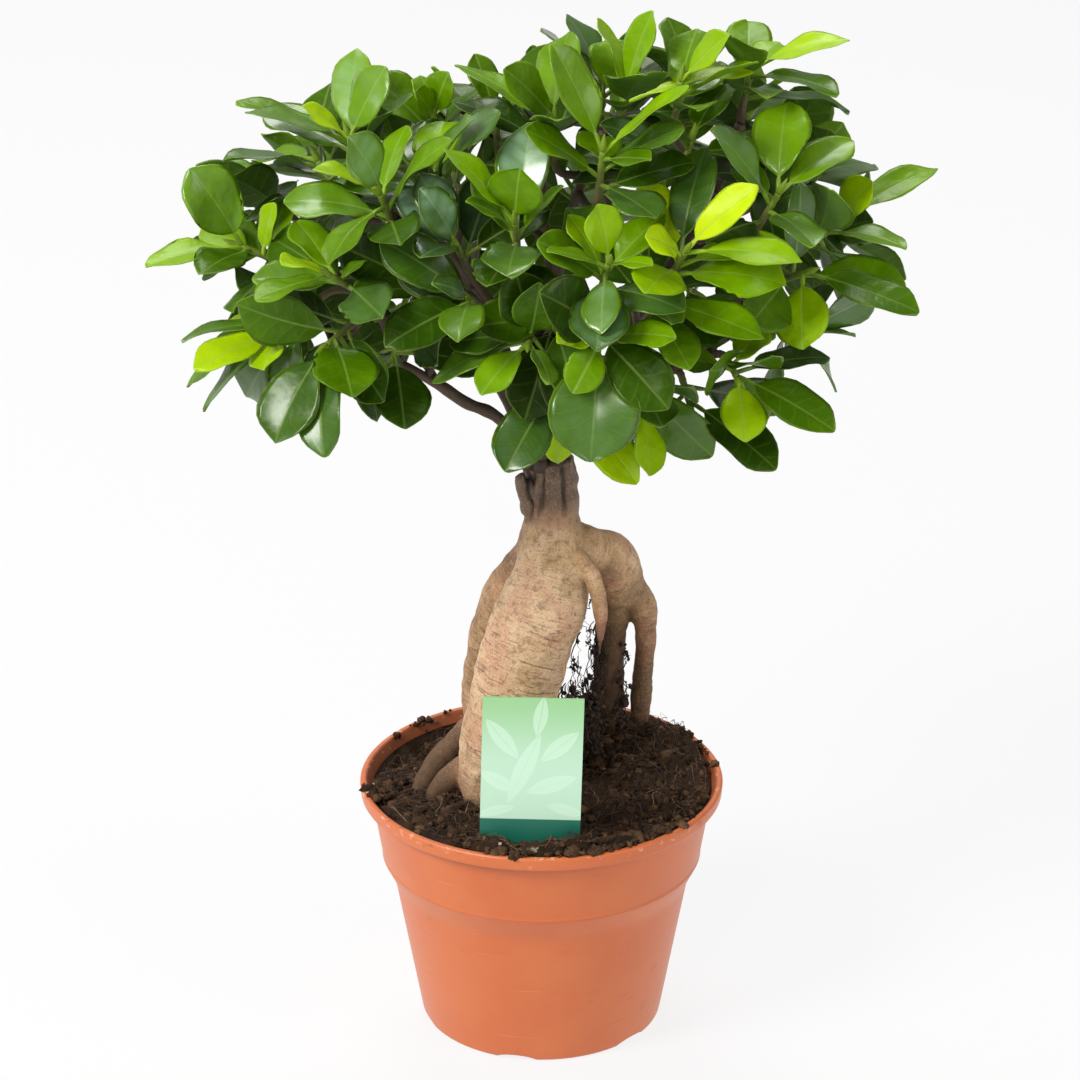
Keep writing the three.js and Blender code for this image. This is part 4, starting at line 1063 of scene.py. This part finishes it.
def soil_form():
    """A plug inside the pot's wall: rings up the wall, then in over the top, which follows
    top_height and carries lumps of three sizes."""
    walls = np.linspace(PLUG_BOTTOM, PLUG_TOP - 1, 14)
    tops = np.sqrt(np.linspace(1, 0.0004, 120)) * (inner_radius(PLUG_TOP - 0.5) - 0.2)
    under = stacked([0, 20, 40], PLUG_BOTTOM)
    wall = stacked(inner_radius(walls), walls)
    form = lathe(np.vstack([under, wall, stacked(tops, PLUG_TOP), [[0, PLUG_TOP]]]), 260)
    points = form.points
    x, y = points[:, 0], points[:, 1]
    radius = np.hypot(x, y)
    on_top = points[:, 2] > PLUG_TOP - 0.5
    flat = stacked(x, y, 0)
    lumps = 1.5 * rumple(flat, 8, 1) + 1.3 * np.abs(rumple(flat, 3.6, 2)) + 0.8 * rumple(flat, 1.7, 3)
    rim_high = 105.6 + 40 * smooth(70, 60, radius)
    high = np.minimum(top_height(x, y), rim_high) + lumps * smooth(72, 66, radius)
    points[on_top, 2] = high[on_top]
    return form


def scatter_soil(random, count):
    """Places on top of the soil, more towards the rim."""
    turn = random.uniform(0, 2 * np.pi, count)
    radius = np.sqrt(random.uniform(0, 1, count)) * SCATTER_REACH
    x, y = radius * np.cos(turn), radius * np.sin(turn)
    return stacked(x, y, top_height(x, y))


def blobs(centres, sizes, random, squash=0.75):
    """Uneven lumps: rings of a ball, with each corner moved in or out by a draw of noise."""
    count = len(centres)
    rise = np.linspace(-np.pi / 2, np.pi / 2, 6)[1:-1, None]
    turn = np.arange(7) * 2 * np.pi / 7
    ball = stacked(np.cos(rise) * np.cos(turn), np.cos(rise) * np.sin(turn), np.sin(rise))
    spin = random.uniform(0, 2 * np.pi, count)[:, None, None]
    shape = random.uniform(0.62, 1.25, (count, 1, 1, 3)) * [1, 1, squash]
    ball = ball[None] * (1 + 0.42 * random.uniform(-1, 1, (count, 4, 7, 1))) * shape
    x = ball[..., 0] * np.cos(spin) - ball[..., 1] * np.sin(spin)
    y = ball[..., 0] * np.sin(spin) + ball[..., 1] * np.cos(spin)
    ball = stacked(x, y, ball[..., 2]) * sizes[:, None, None, None] + centres[:, None, None]
    pole = UP * (sizes * squash * 0.9)[:, None]
    return skin(ball, centres - pole, centres + pole, seed=random.uniform(0, 1, (count, 1, 1, 1)))


def crumb_form(count, usual):
    """Lumps of a usual size on top of the soil, and the spilled ones on the rim."""
    random = np.random.default_rng(12)
    centres = [scatter_soil(random, count)]
    for turn, spread, crumbs in SPILLS:
        angle = np.radians(turn + random.normal(0, spread, crumbs))
        radius = random.uniform(RIM_RADII[0], RIM_RADII[-1], crumbs)
        high = np.interp(radius, RIM_RADII, RIM_HEIGHTS)
        centres.append(stacked(radius * np.cos(angle), radius * np.sin(angle), high))
    centres = np.vstack(centres)
    sizes = np.minimum(usual * np.exp(random.normal(0, 0.5, len(centres))), LARGEST_CRUMB)
    centres[:, 2] += sizes * 0.2 + 0.7 * (np.hypot(centres[:, 0], centres[:, 1]) < 66)
    return blobs(centres, sizes, random)


def fibre_form(count):
    """Fine fibres that lie and curl on the soil: wandering lines that keep to its height."""
    random = np.random.default_rng(21)
    start = scatter_soil(random, count)
    heading = random.uniform(0, 2 * np.pi, (count, 1))
    heading = heading + np.cumsum(random.normal(0, 0.42, (count, FIBRE_STEPS)), axis=1)
    step = random.uniform(0.5, 1.9, (count, 1))
    x = start[:, :1] + np.cumsum(np.cos(heading) * step, axis=1)
    y = start[:, 1:2] + np.cumsum(np.sin(heading) * step, axis=1)
    far = np.maximum(1, np.hypot(x, y) / FIBRE_REACH)
    x, y = x / far, y / far
    lift = random.uniform(0.6, 3.4, (count, 1)) * np.sin(np.linspace(0, np.pi, FIBRE_STEPS)) + 0.8
    rough = random.normal(0, 0.25, (count, FIBRE_STEPS))
    paths = stacked(x, y, top_height(x, y) + lift + rough)
    thin = random.uniform(0.06, 0.16, (count, 1)) * np.linspace(1, 0.6, FIBRE_STEPS)
    return sweep(paths, thin, 4, seed=random.uniform(0, 1, (count, 1, 1)))


# Pot and label


def pot_form(around, corner):
    """The thin wall of the pot as a lathe, its corners rounded in the given share of full size."""
    profile = np.array([*OUTER_WALL, *INNER_WALL, *INNER_FLOOR], float)
    shape = rounded(profile[:, :2], profile[:, 2] * corner)
    dense = [shape[:1]]
    for low, high in zip(shape[:-1], shape[1:]):
        pieces = int(np.ceil(np.linalg.norm(high - low) / 6))
        dense.append(low + (high - low) * np.linspace(0, 1, pieces + 1)[1:, None])
    return lathe(np.vstack(dense), around)


def drain_form(turn):
    """A rod through the floor of the pot, at an angle round it."""
    centre = np.array([math.cos(turn), math.sin(turn), 0]) * DRAIN_REACH
    return sweep((centre + UP * np.array([[-2], [0], [8]]))[None], DRAIN_RADIUS, 40)


def notch_form(turn):
    """A low arch outwards through the foot ring, between two drain holes."""
    turn = turn + math.radians(NOTCH_TURN)
    out = np.array([-math.sin(turn), math.cos(turn), 0])
    arch = sweep((out * np.array([[40.4], [46], [52.4]]))[None], NOTCH_RADIUS, 40)
    arch.points[:, 2] *= NOTCH_HEIGHT / NOTCH_RADIUS
    return arch


def cut(made, name, forms):
    """Takes the closed forms out of the piece with a Boolean."""
    knife = make_object(name, joined(forms), made.data.materials[0])
    away = made.modifiers.new(name, "BOOLEAN")
    away.operation = "DIFFERENCE"
    away.solver = "EXACT"
    away.object = knife
    apply_modifiers(made)
    mesh = knife.data
    bpy.data.objects.remove(knife)
    bpy.data.meshes.remove(mesh)


def label_mesh():
    """A card with square shoulders and a pointed stake: its outline as a front and a back face with a
    strip between, leaned sideways about its foot."""
    half = CARD_WIDTH / 2
    low = CARD_BOTTOM
    right = [[half, CARD_TOP], [half, low + 4], [10, low], [6, low - 3], [0, low - 20]]
    outline = np.array(right + [[-x, z] for x, z in right[-2::-1]], float)
    across, level = outline[:, 0], outline[:, 1] - low
    lean = math.radians(CARD_LEAN)
    x = across * math.cos(lean) + level * math.sin(lean) + CARD_PLACE[0]
    z = low + level * math.cos(lean) - across * math.sin(lean)
    sides = [stacked(x, CARD_PLACE[1] + y, z) for y in (-CARD_THICK / 2, CARD_THICK / 2)]
    ring = np.arange(len(outline))
    back = ring + len(ring)
    strip = stacked(ring, back, np.roll(back, -1), np.roll(ring, -1))
    mesh = bpy.data.meshes.new("plant_card")
    faces = [ring[::-1].tolist(), back.tolist(), *strip.tolist()]
    mesh.from_pydata((np.vstack(sides) * MM).tolist(), [], faces)
    add_values(mesh, {"card": np.vstack([stacked(*outline.T, 0)] * 2)})
    return mesh


# Materials of the pieces


def leaf_material(look):
    """Waxy green that runs from dark to yellow-green with the leaf's tone, with side veins, a midrib,
    a pale margin, a painted sheen of pale blue-green where the leaf shines and a paler underside."""
    shade = Shade("leaf")
    offset, down, under = shade.value("across").parts()
    tone, sheen, margin = shade.value("look").parts()
    place = shade.place()
    cloudy = shade.noise(place, 11, 3) - 0.5
    age = (tone + cloudy * 2.2) / 9
    side = abs(offset)
    vein_way = down - side * 0.7 + side * side * 0.02 + shade.noise(place, 8, 2) * 4
    wave = abs((vein_way / (look.vein_gap * METRE)).math("FRACT") - 0.5)
    vein = wave.rise(0.11, 0.02) * side.rise(0.4, 1.4) * margin.rise(0.8, 3)
    rib = side.rise(0.75, 0.15)
    between = wave.rise(0, 0.3) * 0.3 + 0.7
    patches = shade.noise(place, 12, 1).rise(0.34, 0.64) * 0.7 + 0.3
    # Painted sheen: pale patches between the veins of shiny leaves, a painted reflection of the bright
    # surround
    painted_sheen = sheen**4 * patches * margin.rise(0.2, 3.5)
    colour = shade.layers(
        shade.ramp(LEAF_STOPS, age),
        (sheen, 0.35, shade.mix(age, (20, 51, 9), (92, 141, 20))),
        (vein, 0.05 + under * 0.12, look.vein_colour),
        (rib, (1 - down / 60) * 0.4, look.vein_colour),
        (margin.rise(0.9, 0.15), 0.28, look.margin_colour),
        # The painted sheen's pale blue-green reflection colour
        (painted_sheen * between, 0.58, (156, 196, 156)),
        (under, 0.35, look.under_colour),
    )
    shade.set(base_color=colour, roughness=0.34 + under * 0.25 + cloudy * 0.2, specular_ior_level=0.25)
    shade.set(specular_tint=(0.86, 1, 0.5, 1))
    shade.set(coat_weight=(0.06 + sheen * 0.94) * (1 - under), coat_roughness=0.22, coat_ior=1.6, ior=1.42)
    # Painted glow: the leaf's own colour emitted, standing in for light that passes through the thin
    # leaves
    shade.set(emission_color=colour, emission_strength=look.glow)
    pillow = wave * side.rise(0.5, 2.5) * margin.rise(0.5, 3)
    relief = shade.noise(place, 1.3, 2) * 0.12 - rib * 0.3 + shade.noise(place, 8, 2) * 2.4 - pillow * 0.4
    shade.bump(relief, 0.55, 0.6)
    return shade.material


def wood_material():
    """Brown bark that turns green towards the tips of the twigs."""
    shade = Shade("twig_wood")
    grain = shade.noise(shade.place().stretch(1, 1, 0.35), 1.6, 4)
    age = shade.value("age", "Fac") + (grain - 0.5) * 0.3
    shade.set(base_color=shade.ramp(WOOD_STOPS, age), roughness=0.62)
    shade.bump(grain, 0.35)
    return shade.material


def bark_material():
    """Pale root skin with clouds, pores, streaks and thin dark lines across it, painted shade in the
    grooves where roots meet, rough grey bark on the cut stub, and soil stains at the foot."""
    shade = Shade("bark")
    down, around, limb = shade.value("track").parts()
    pale, stub, stain = shade.value("tone").parts()
    relief, crack, grip = shade.value("relief").parts()
    place = shade.place()
    height = place.part(2)

    def noise_along(across_size, down_size, detail, roughness=0.55, level=down):
        """Noise with features of one size round a root and of another down it."""
        inputs = {"X": around / across_size, "Y": level / down_size, "Z": limb}
        return shade.noise(shade.add("CombineXYZ", inputs), 1, detail, roughness)

    def creases(gap, sag, width, length, rarity):
        """Thin dark lines across a root, one in each gap, each present only in part of its way."""
        level = (down + noise_along(16, 24, 2) * sag + noise_along(3, 5, 3, 0.6) * 1.8) / gap
        row = level.math("FLOOR")
        off = abs(level - row - 0.5 + (noise_along(9, 0.4, 0, 0.5, row) - 0.5) * 0.3)
        thin = noise_along(2.4, 0.7, 2) * 1.3 * width / gap
        present = noise_along(length, 0.3, 1, 0.5, row).rise(*rarity)
        return (thin - off).rise(0, 0.35 * width / gap) * present

    wide = shade.noise(place, 13, 3, 0.6)
    warm = shade.noise(place, 19, 2, 0.5)
    middle = shade.noise(place, 3.4, 3, 0.65)
    fine = shade.noise(place, 1, 4, 0.7)
    speck = shade.noise(place, 0.45, 2, 0.6)
    streak = (noise_along(9, 0.9, 4, 0.65) - 0.5) * grip + 0.5
    wisp = (noise_along(1.1, 13, 4, 0.7) - 0.5) * grip + 0.5
    skin_share = pale.rise(0.45, 0.7) * (1 - stub) * height.rise(208, 186) * grip
    left = abs(limb - list(ROOTS).index("left_leg") * ROOT_MARK).rise(2, 1)
    long_lines = creases(5.6, 5, 0.4, 15, (0.45, 0.56)) * skin_share
    short_lines = creases(2.2, 3, 0.4, 6, (0.52, 0.66)) * skin_share * (1 + left * 1.6)
    colour = shade.layers(
        shade.ramp(BARK_STOPS, pale + (wide - 0.5) * 0.6 + relief * 0.16 + (wisp - 0.5) * 0.3),
        (warm.rise(0.5, 0.62), 0.42, (200, 138, 108)),
        (warm.rise(0.47, 0.36), 0.34, (154, 130, 76)),
        (middle.rise(0.5, 0.7), 0.62, (130, 96, 66)),
        (middle.rise(0.43, 0.26), 0.48, (230, 196, 158)),
        (streak.rise(0.5, 0.7), 0.56, (124, 90, 64)),
        (streak.rise(0.42, 0.24), 0.3, (226, 196, 160)),
        # Painted shade: darker brown in the grooves where roots meet, below the neck
        ((1 - grip) * height.rise(210, 196), 0.42, (92, 66, 46)),
        (long_lines, 0.55, (96, 66, 48)),
        (short_lines, 0.42, (98, 68, 48)),
        (fine.rise(0.53, 0.7), 0.6, (100, 72, 50)),
        (fine.rise(0.44, 0.3), 0.4, (234, 204, 170)),
        (speck.rise(0.58, 0.66), 0.5, (84, 58, 40)),
    )
    grey = shade.layers(
        shade.ramp(STUB_STOPS, wide * 0.2 + middle * 0.5 + fine * 0.3),
        (wisp.rise(0.55, 0.7), 0.6, (52, 36, 28)),
        (middle.rise(0.46, 0.3), 0.5, (150, 116, 92)),
        (fine.rise(0.54, 0.68), 0.5, (50, 37, 29)),
        (fine.rise(0.44, 0.32), 0.5, (160, 136, 116)),
        (speck.rise(0.59, 0.67), 0.7, (196, 176, 158)),
        (crack, 0.9, (26, 18, 14)),
    )
    dirt = (stain + (fine - 0.5) * 0.7 + (wide - 0.5) * 0.5).rise(0.1, 0.9)
    peat = shade.mix(middle, (54, 39, 26), (118, 88, 60))
    colour = shade.mix(dirt, shade.mix(stub, colour, grey), peat)
    shade.set(base_color=colour, roughness=0.66 + dirt * 0.2)
    lines = long_lines * 0.36 + short_lines * 0.26
    rough = fine * 0.6 + middle * 0.4 + streak * 0.4 + wisp * (0.3 + stub * 0.6)
    shade.bump(rough - lines - crack * 0.6 * stub + speck * 0.1, 0.85)
    return shade.material


def soil_material(look):
    """Dark crumbly peat; a few of the loose crumbs are pale grit."""
    shade = Shade("soil")
    seed = shade.value("seed", "Fac")
    place = shade.place()
    wide = shade.noise(place, 12, 4, 0.65)
    fine = shade.noise(place, 0.9, 4, 0.7)
    colour = shade.ramp(SOIL_STOPS, wide * 0.5 + fine * 0.5 + (seed - 0.5) * 0.3)
    colour = shade.mix(seed.rise(0.984, 0.99), colour, (206, 196, 178))
    colour = shade.mix(0.25, colour, look.colour)
    shade.set(base_color=colour, roughness=0.95, specular_ior_level=0.2)
    shade.bump(fine * 0.7 + wide * 0.3, 1.1)
    return shade.material


def fibre_material():
    """Brown, each fibre in its own tone."""
    shade = Shade("fibre")
    shade.set(base_color=shade.ramp(FIBRE_STOPS, shade.value("seed", "Fac")), roughness=0.8)
    return shade.material


def pot_material(look):
    """Orange plastic with paler clouds, dirt under the lip, soil dust and painted shade inside the rim,
    pale spots along the rim that are partly wear and partly painted highlight, a smear low on the
    right and fine scratches."""
    shade = Shade("pot_plastic")
    place = shade.place()
    across, deep, height = place.parts()
    flattened = place.stretch(0.5, 0.5, 1)
    wide = shade.noise(place, 30, 3, 0.5)
    smudge = shade.noise(flattened, 6, 5, 0.65)
    dirt = smudge.rise(0.6, 0.73) * (0.22 + height.rise(96, 106) * 0.7)
    # Inside the rim: soil dust on the inner wall, and in part painted shade there
    inside = (across * across + deep * deep).math("SQRT").rise(RIM_RADIUS - 1.6, RIM_RADIUS - 2.6)
    inside = inside * height.rise(100, 101.5)
    # Pale spots along the top of the rim: partly wear, partly a painted highlight
    wear_and_painted_highlight = shade.noise(flattened, 1.8, 3, 0.6).rise(0.6, 0.68) * height.rise(101, 106)
    smear = shade.noise(place.stretch(1 / 13, 1 / 13, 1 / 1.5), 1, 4, 0.65).rise(0.6, 0.72)
    smear = smear * height.rise(50, 34) * across.rise(-5, 20)
    scratch = shade.noise(place.stretch(1 / 22, 1 / 22, 1 / 0.8), 1, 2, 0.5).rise(0.72, 0.76)
    colour = shade.layers(
        look.colour,
        (wide.rise(0.35, 0.7), 0.35, look.warm_colour),
        (dirt, 0.6, (112, 62, 40)),
        (inside, smudge * 0.7 + 0.2, (122, 76, 56)),
        # Pale rim spots: partly wear, partly a painted highlight
        (wear_and_painted_highlight, 0.5, (240, 190, 160)),
        (smear, 0.4, (134, 78, 50)),
        (scratch, 0.18, (246, 190, 160)),
    )
    shade.set(base_color=colour, roughness=0.36 + wide * 0.12 + dirt * 0.3, ior=1.46)
    shade.set(coat_weight=0.35, coat_roughness=0.5)
    shade.bump(shade.noise(place, 0.7, 2) * 0.35 + wide, 0.12, 0.5)
    return shade.material


def card_material(look):
    """Mint paper with paler leaves of a sprig, and a dark band along the lower edge."""
    shade = Shade("card_paper")
    card = shade.value("card")
    x, z = card.part(0), card.part(1)
    marks = []
    for across, high, angle, length, width in SPRIG:
        turn = math.radians(angle)
        along = (x - across) * math.cos(turn) + (z - high) * math.sin(turn)
        side = abs((z - high) * math.cos(turn) - (x - across) * math.sin(turn))
        leaf = (side / width + (along / length) ** 2).rise(1.04, 0.97)
        marks.append(leaf * (1 - side.rise(0.28, 0.12) * 0.6))
    sprig = reduce(lambda mark, other: mark.math("MAXIMUM", other), marks)
    colour = shade.mix(z.rise(138, 176), look.low_colour, look.high_colour)
    colour = shade.mix(sprig * 0.55, colour, look.leaf_colour)
    colour = shade.mix(z.rise(117.8, 117.4), colour, look.band_colour)
    shade.set(base_color=colour, roughness=0.42)
    return shade.material


def root_material():
    """Dark brown in soft patches."""
    shade = Shade("fine_roots")
    patches = shade.noise(shade.place(), 3, 3).rise(0.35, 0.7)
    shade.set(base_color=shade.mix(patches, (34, 24, 19), (84, 60, 44)), roughness=0.85)
    return shade.material


def floor_material():
    """White that glows a little, so that it ends without a line in the white surround."""
    shade = Shade("studio_floor")
    shade.set(base_color=(0.11, 0.11, 0.11, 1), roughness=0.9, specular_ior_level=0.1)
    shade.set(emission_color=(1, 1, 1, 1), emission_strength=0.83)
    return shade.material


# Settings


def colour_setting(name, description, colour):
    """A colour, given as an sRGB colour of three numbers from 0 to 255."""
    return FloatVectorProperty(
        name=name, description=description, default=linear(colour), size=4, subtype="COLOR"
    )


def length_setting(name, description, default, least):
    """A length in metres."""
    return FloatProperty(name=name, description=description, default=default, min=least, unit="LENGTH")


def share_setting(name, description, default, least, most):
    """A factor between two limits."""
    return FloatProperty(
        name=name, description=description, default=default, min=least, max=most, subtype="FACTOR"
    )


def power_setting(name, description, default):
    """A light's power in watts."""
    return FloatProperty(name=name, description=description, default=default, min=0, unit="POWER")


class FicusPotSettings(bpy.types.PropertyGroup):
    around: IntProperty(name="Facets", description="Corners round the pot", default=160, min=24)
    corner: share_setting("Rounding", "Size of the rounded corners", 1.0, 0.1, 1.0)
    colour: colour_setting("Plastic", "Colour of the pot", (202, 101, 48))
    warm_colour: colour_setting("Clouds", "Colour of its paler clouds", (213, 119, 62))


class FicusSoilSettings(bpy.types.PropertyGroup):
    colour: colour_setting("Peat", "Tint of the soil", (66, 48, 33))
    crumbs: IntProperty(name="Crumbs", description="Lumps of soil that lie on top", default=2600, min=0)
    crumb_size: length_setting("Crumb size", "Radius of a usual crumb", 0.0009, 0.0003)
    fibres: IntProperty(name="Fibres", description="Fine fibres that lie on top", default=1500, min=0)


class FicusTrunkSettings(bpy.types.PropertyGroup):
    voxel: length_setting("Grid", "Size of the cubes on which the roots grow together", 0.0009, 0.0005)
    relief: share_setting("Relief", "Depth of the bark's relief", 1.0, 0, 2.0)


class FicusLeafSettings(bpy.types.PropertyGroup):
    thickness: length_setting("Thickness", "Half thickness of a blade at its middle", 0.00032, 0.0001)
    vein_gap: length_setting("Vein gap", "Distance from one side vein to the next", 0.0062, 0.001)
    vein_colour: colour_setting("Veins", "Colour of the veins", (150, 176, 84))
    margin_colour: colour_setting("Margin", "Colour of the thin leaf margin", (158, 186, 70))
    under_colour: colour_setting("Underside", "Colour of the underside", (84, 118, 38))
    # Strength of the painted glow that stands in for light through the leaves
    glow: share_setting("Glow", "Light that passes through the leaves", 0.05, 0, 1)
    wood_radius: length_setting("Bough", "Radius of a bough at its foot", 0.0029, 0.001)
    twig_radius: length_setting("Twig", "Radius of a twig at its foot", 0.0017, 0.0005)


class FicusCardSettings(bpy.types.PropertyGroup):
    low_colour: colour_setting("Lower paper", "Colour above the band", (188, 222, 194))
    high_colour: colour_setting("Upper paper", "Colour at the top edge", (147, 198, 136))
    leaf_colour: colour_setting("Sprig", "Colour of the printed leaves", (206, 236, 212))
    band_colour: colour_setting("Band", "Colour of the band along the foot", (22, 104, 84))


class FicusStageSettings(bpy.types.PropertyGroup):
    key: power_setting("Key light", "Power of the soft light at the upper left", 46.0)
    fill: power_setting("Fill light", "Power of the soft light at the right", 9.0)
    front: power_setting("Front light", "Power of the small soft light by the camera", 7.0)
    top: power_setting("Top light", "Power of the soft light above and behind", 30.0)
    edge: power_setting("Edge light", "Power of the soft light low at the left and behind", 5.0)
    sky: FloatProperty(name="Surround", description="Brightness of the white surround", default=0.3, min=0)
    lens: FloatProperty(name="Lens", description="Focal length of the camera in millimetres",
                        default=144.4, min=1, unit="CAMERA")


# Operators


class FICUS_OT_pot(bpy.types.Operator):
    """Builds the pot with its drain holes and the notches in its foot"""

    bl_idname = "ficus.pot"
    bl_label = "Pot"

    def execute(self, context):
        look = context.scene.ficus_pot
        made = make_object("pot_shell", pot_form(look.around, look.corner), pot_material(look))
        turns = np.arange(DRAIN_HOLES) * 2 * np.pi / DRAIN_HOLES
        cut(made, "drains", [drain_form(turn) for turn in turns])
        cut(made, "notches", [notch_form(turn) for turn in turns])
        finish_piece(made, "pot")
        return {"FINISHED"}


class FICUS_OT_soil(bpy.types.Operator):
    """Builds the soil with its crumbs and fibres"""

    bl_idname = "ficus.soil"
    bl_label = "Soil"

    def execute(self, context):
        look = context.scene.ficus_soil
        material = soil_material(look)
        finish_piece(make_object("soil_plug", soil_form(), material), "soil")
        crumbs = crumb_form(look.crumbs, look.crumb_size * METRE)
        finish_piece(make_object("soil_crumbs", crumbs, material))
        finish_piece(make_object("soil_fibres", fibre_form(look.fibres), fibre_material()))
        return {"FINISHED"}


class FICUS_OT_trunk(bpy.types.Operator):
    """Builds the trunk of grown-together roots and the fine roots between its legs"""

    bl_idname = "ficus.trunk"
    bl_label = "Trunk"

    def execute(self, context):
        look = context.scene.ficus_trunk
        made = trunk_mesh(look.voxel)
        roughen_bark(made, look.relief)
        finish_piece(made, "trunk")
        finish_piece(make_object("root_hairs", root_hairs(), root_material()))
        return {"FINISHED"}


class FICUS_OT_boughs(bpy.types.Operator):
    """Builds each bough: its wood, twigs, buds and leaves"""

    bl_idname = "ficus.boughs"
    bl_label = "Boughs"

    def execute(self, context):
        look = context.scene.ficus_leaf
        green, wood = leaf_material(look), wood_material()
        number = 0
        for name in BOUGHS:
            curve, twigs, leaves = bough_layout(name, number)
            number += len(twigs)
            blades = leaf_form(leaves, look.thickness * METRE)
            finish_piece(make_object(name + "_leaves", blades, green), name)
            stems = wood_form(curve, twigs, look.wood_radius * METRE, look.twig_radius * METRE)
            finish_piece(make_object(name + "_wood", stems, wood), name)
        return {"FINISHED"}


class FICUS_OT_card(bpy.types.Operator):
    """Builds the plant label"""

    bl_idname = "ficus.card"
    bl_label = "Plant label"

    def execute(self, context):
        made = new_object("plant_card", label_mesh())
        made.data.materials.append(card_material(context.scene.ficus_card))
        edge = made.modifiers.new("soft_edge", "BEVEL")
        edge.width = CARD_EDGE
        edge.segments = 2
        finish_piece(made, "plant_label")
        return {"FINISHED"}


class FICUS_OT_stage(bpy.types.Operator):
    """Sets up the floor, the soft lights and the camera"""

    bl_idname = "ficus.stage"
    bl_label = "Stage"

    def execute(self, context):
        look = context.scene.ficus_stage
        scene = context.scene
        mesh = bpy.data.meshes.new("floor")
        far = FLOOR_HALF
        mesh.from_pydata([(-far, -far, 0), (far, -far, 0), (far, far, 0), (-far, far, 0)], [], [range(4)])
        mesh.materials.append(floor_material())
        floor = new_object("floor", mesh)
        world = bpy.data.worlds.new("surround")
        world.use_nodes = True
        sky = world.node_tree.nodes["Background"].inputs
        sky["Color"].default_value = (1, 1, 1, 1)
        sky["Strength"].default_value = look.sky
        scene.world = world
        scene.view_settings.view_transform = "Standard"
        for name, (place, size) in LIGHTS.items():
            lamp = bpy.data.lights.new(name, "AREA")
            lamp.shape = "DISK"
            lamp.size = size
            lamp.energy = getattr(look, name)
            aim(new_object(name, lamp), place, LIGHTS_AIM)
        lens = bpy.data.cameras.new("camera")
        lens.lens = look.lens
        scene.camera = new_object("camera", lens)
        aim(scene.camera, CAMERA_PLACE, CAMERA_AIM)
        return {"FINISHED"}


def aim(made, place, target):
    """Sets the object at a place and turns it towards a target."""
    made.location = place
    way = Vector(target) - Vector(place)
    made.rotation_euler = way.to_track_quat("-Z", "Y").to_euler()


class FICUS_PT_panel(bpy.types.Panel):
    """Buttons that build the pieces, and their settings"""

    bl_idname = "FICUS_PT_panel"
    bl_label = "Ginseng ficus"
    bl_space_type = "VIEW_3D"
    bl_region_type = "UI"
    bl_category = "Ficus"

    def draw(self, context):
        for operator in OPERATORS:
            self.layout.operator(operator.bl_idname)
        for key, group in SETTINGS.items():
            box = self.layout.box()
            settings = getattr(context.scene, key)
            for name in group.__annotations__:
                box.prop(settings, name)


SETTINGS = {
    "ficus_pot": FicusPotSettings,
    "ficus_soil": FicusSoilSettings,
    "ficus_trunk": FicusTrunkSettings,
    "ficus_leaf": FicusLeafSettings,
    "ficus_card": FicusCardSettings,
    "ficus_stage": FicusStageSettings,
}
OPERATORS = (
    FICUS_OT_pot, FICUS_OT_soil, FICUS_OT_trunk, FICUS_OT_boughs, FICUS_OT_card, FICUS_OT_stage,
)


def register():
    for made in (*SETTINGS.values(), *OPERATORS, FICUS_PT_panel):
        bpy.utils.register_class(made)
    for key, group in SETTINGS.items():
        setattr(bpy.types.Scene, key, PointerProperty(type=group))


def unregister():
    for key in SETTINGS:
        delattr(bpy.types.Scene, key)
    for made in (FICUS_PT_panel, *reversed(OPERATORS), *reversed(SETTINGS.values())):
        bpy.utils.unregister_class(made)


def main():
    register()
    bpy.ops.ficus.pot()
    bpy.ops.ficus.soil()
    bpy.ops.ficus.trunk()
    bpy.ops.ficus.boughs()
    bpy.ops.ficus.card()
    bpy.ops.ficus.stage()


if __name__ == "__main__":
    main()
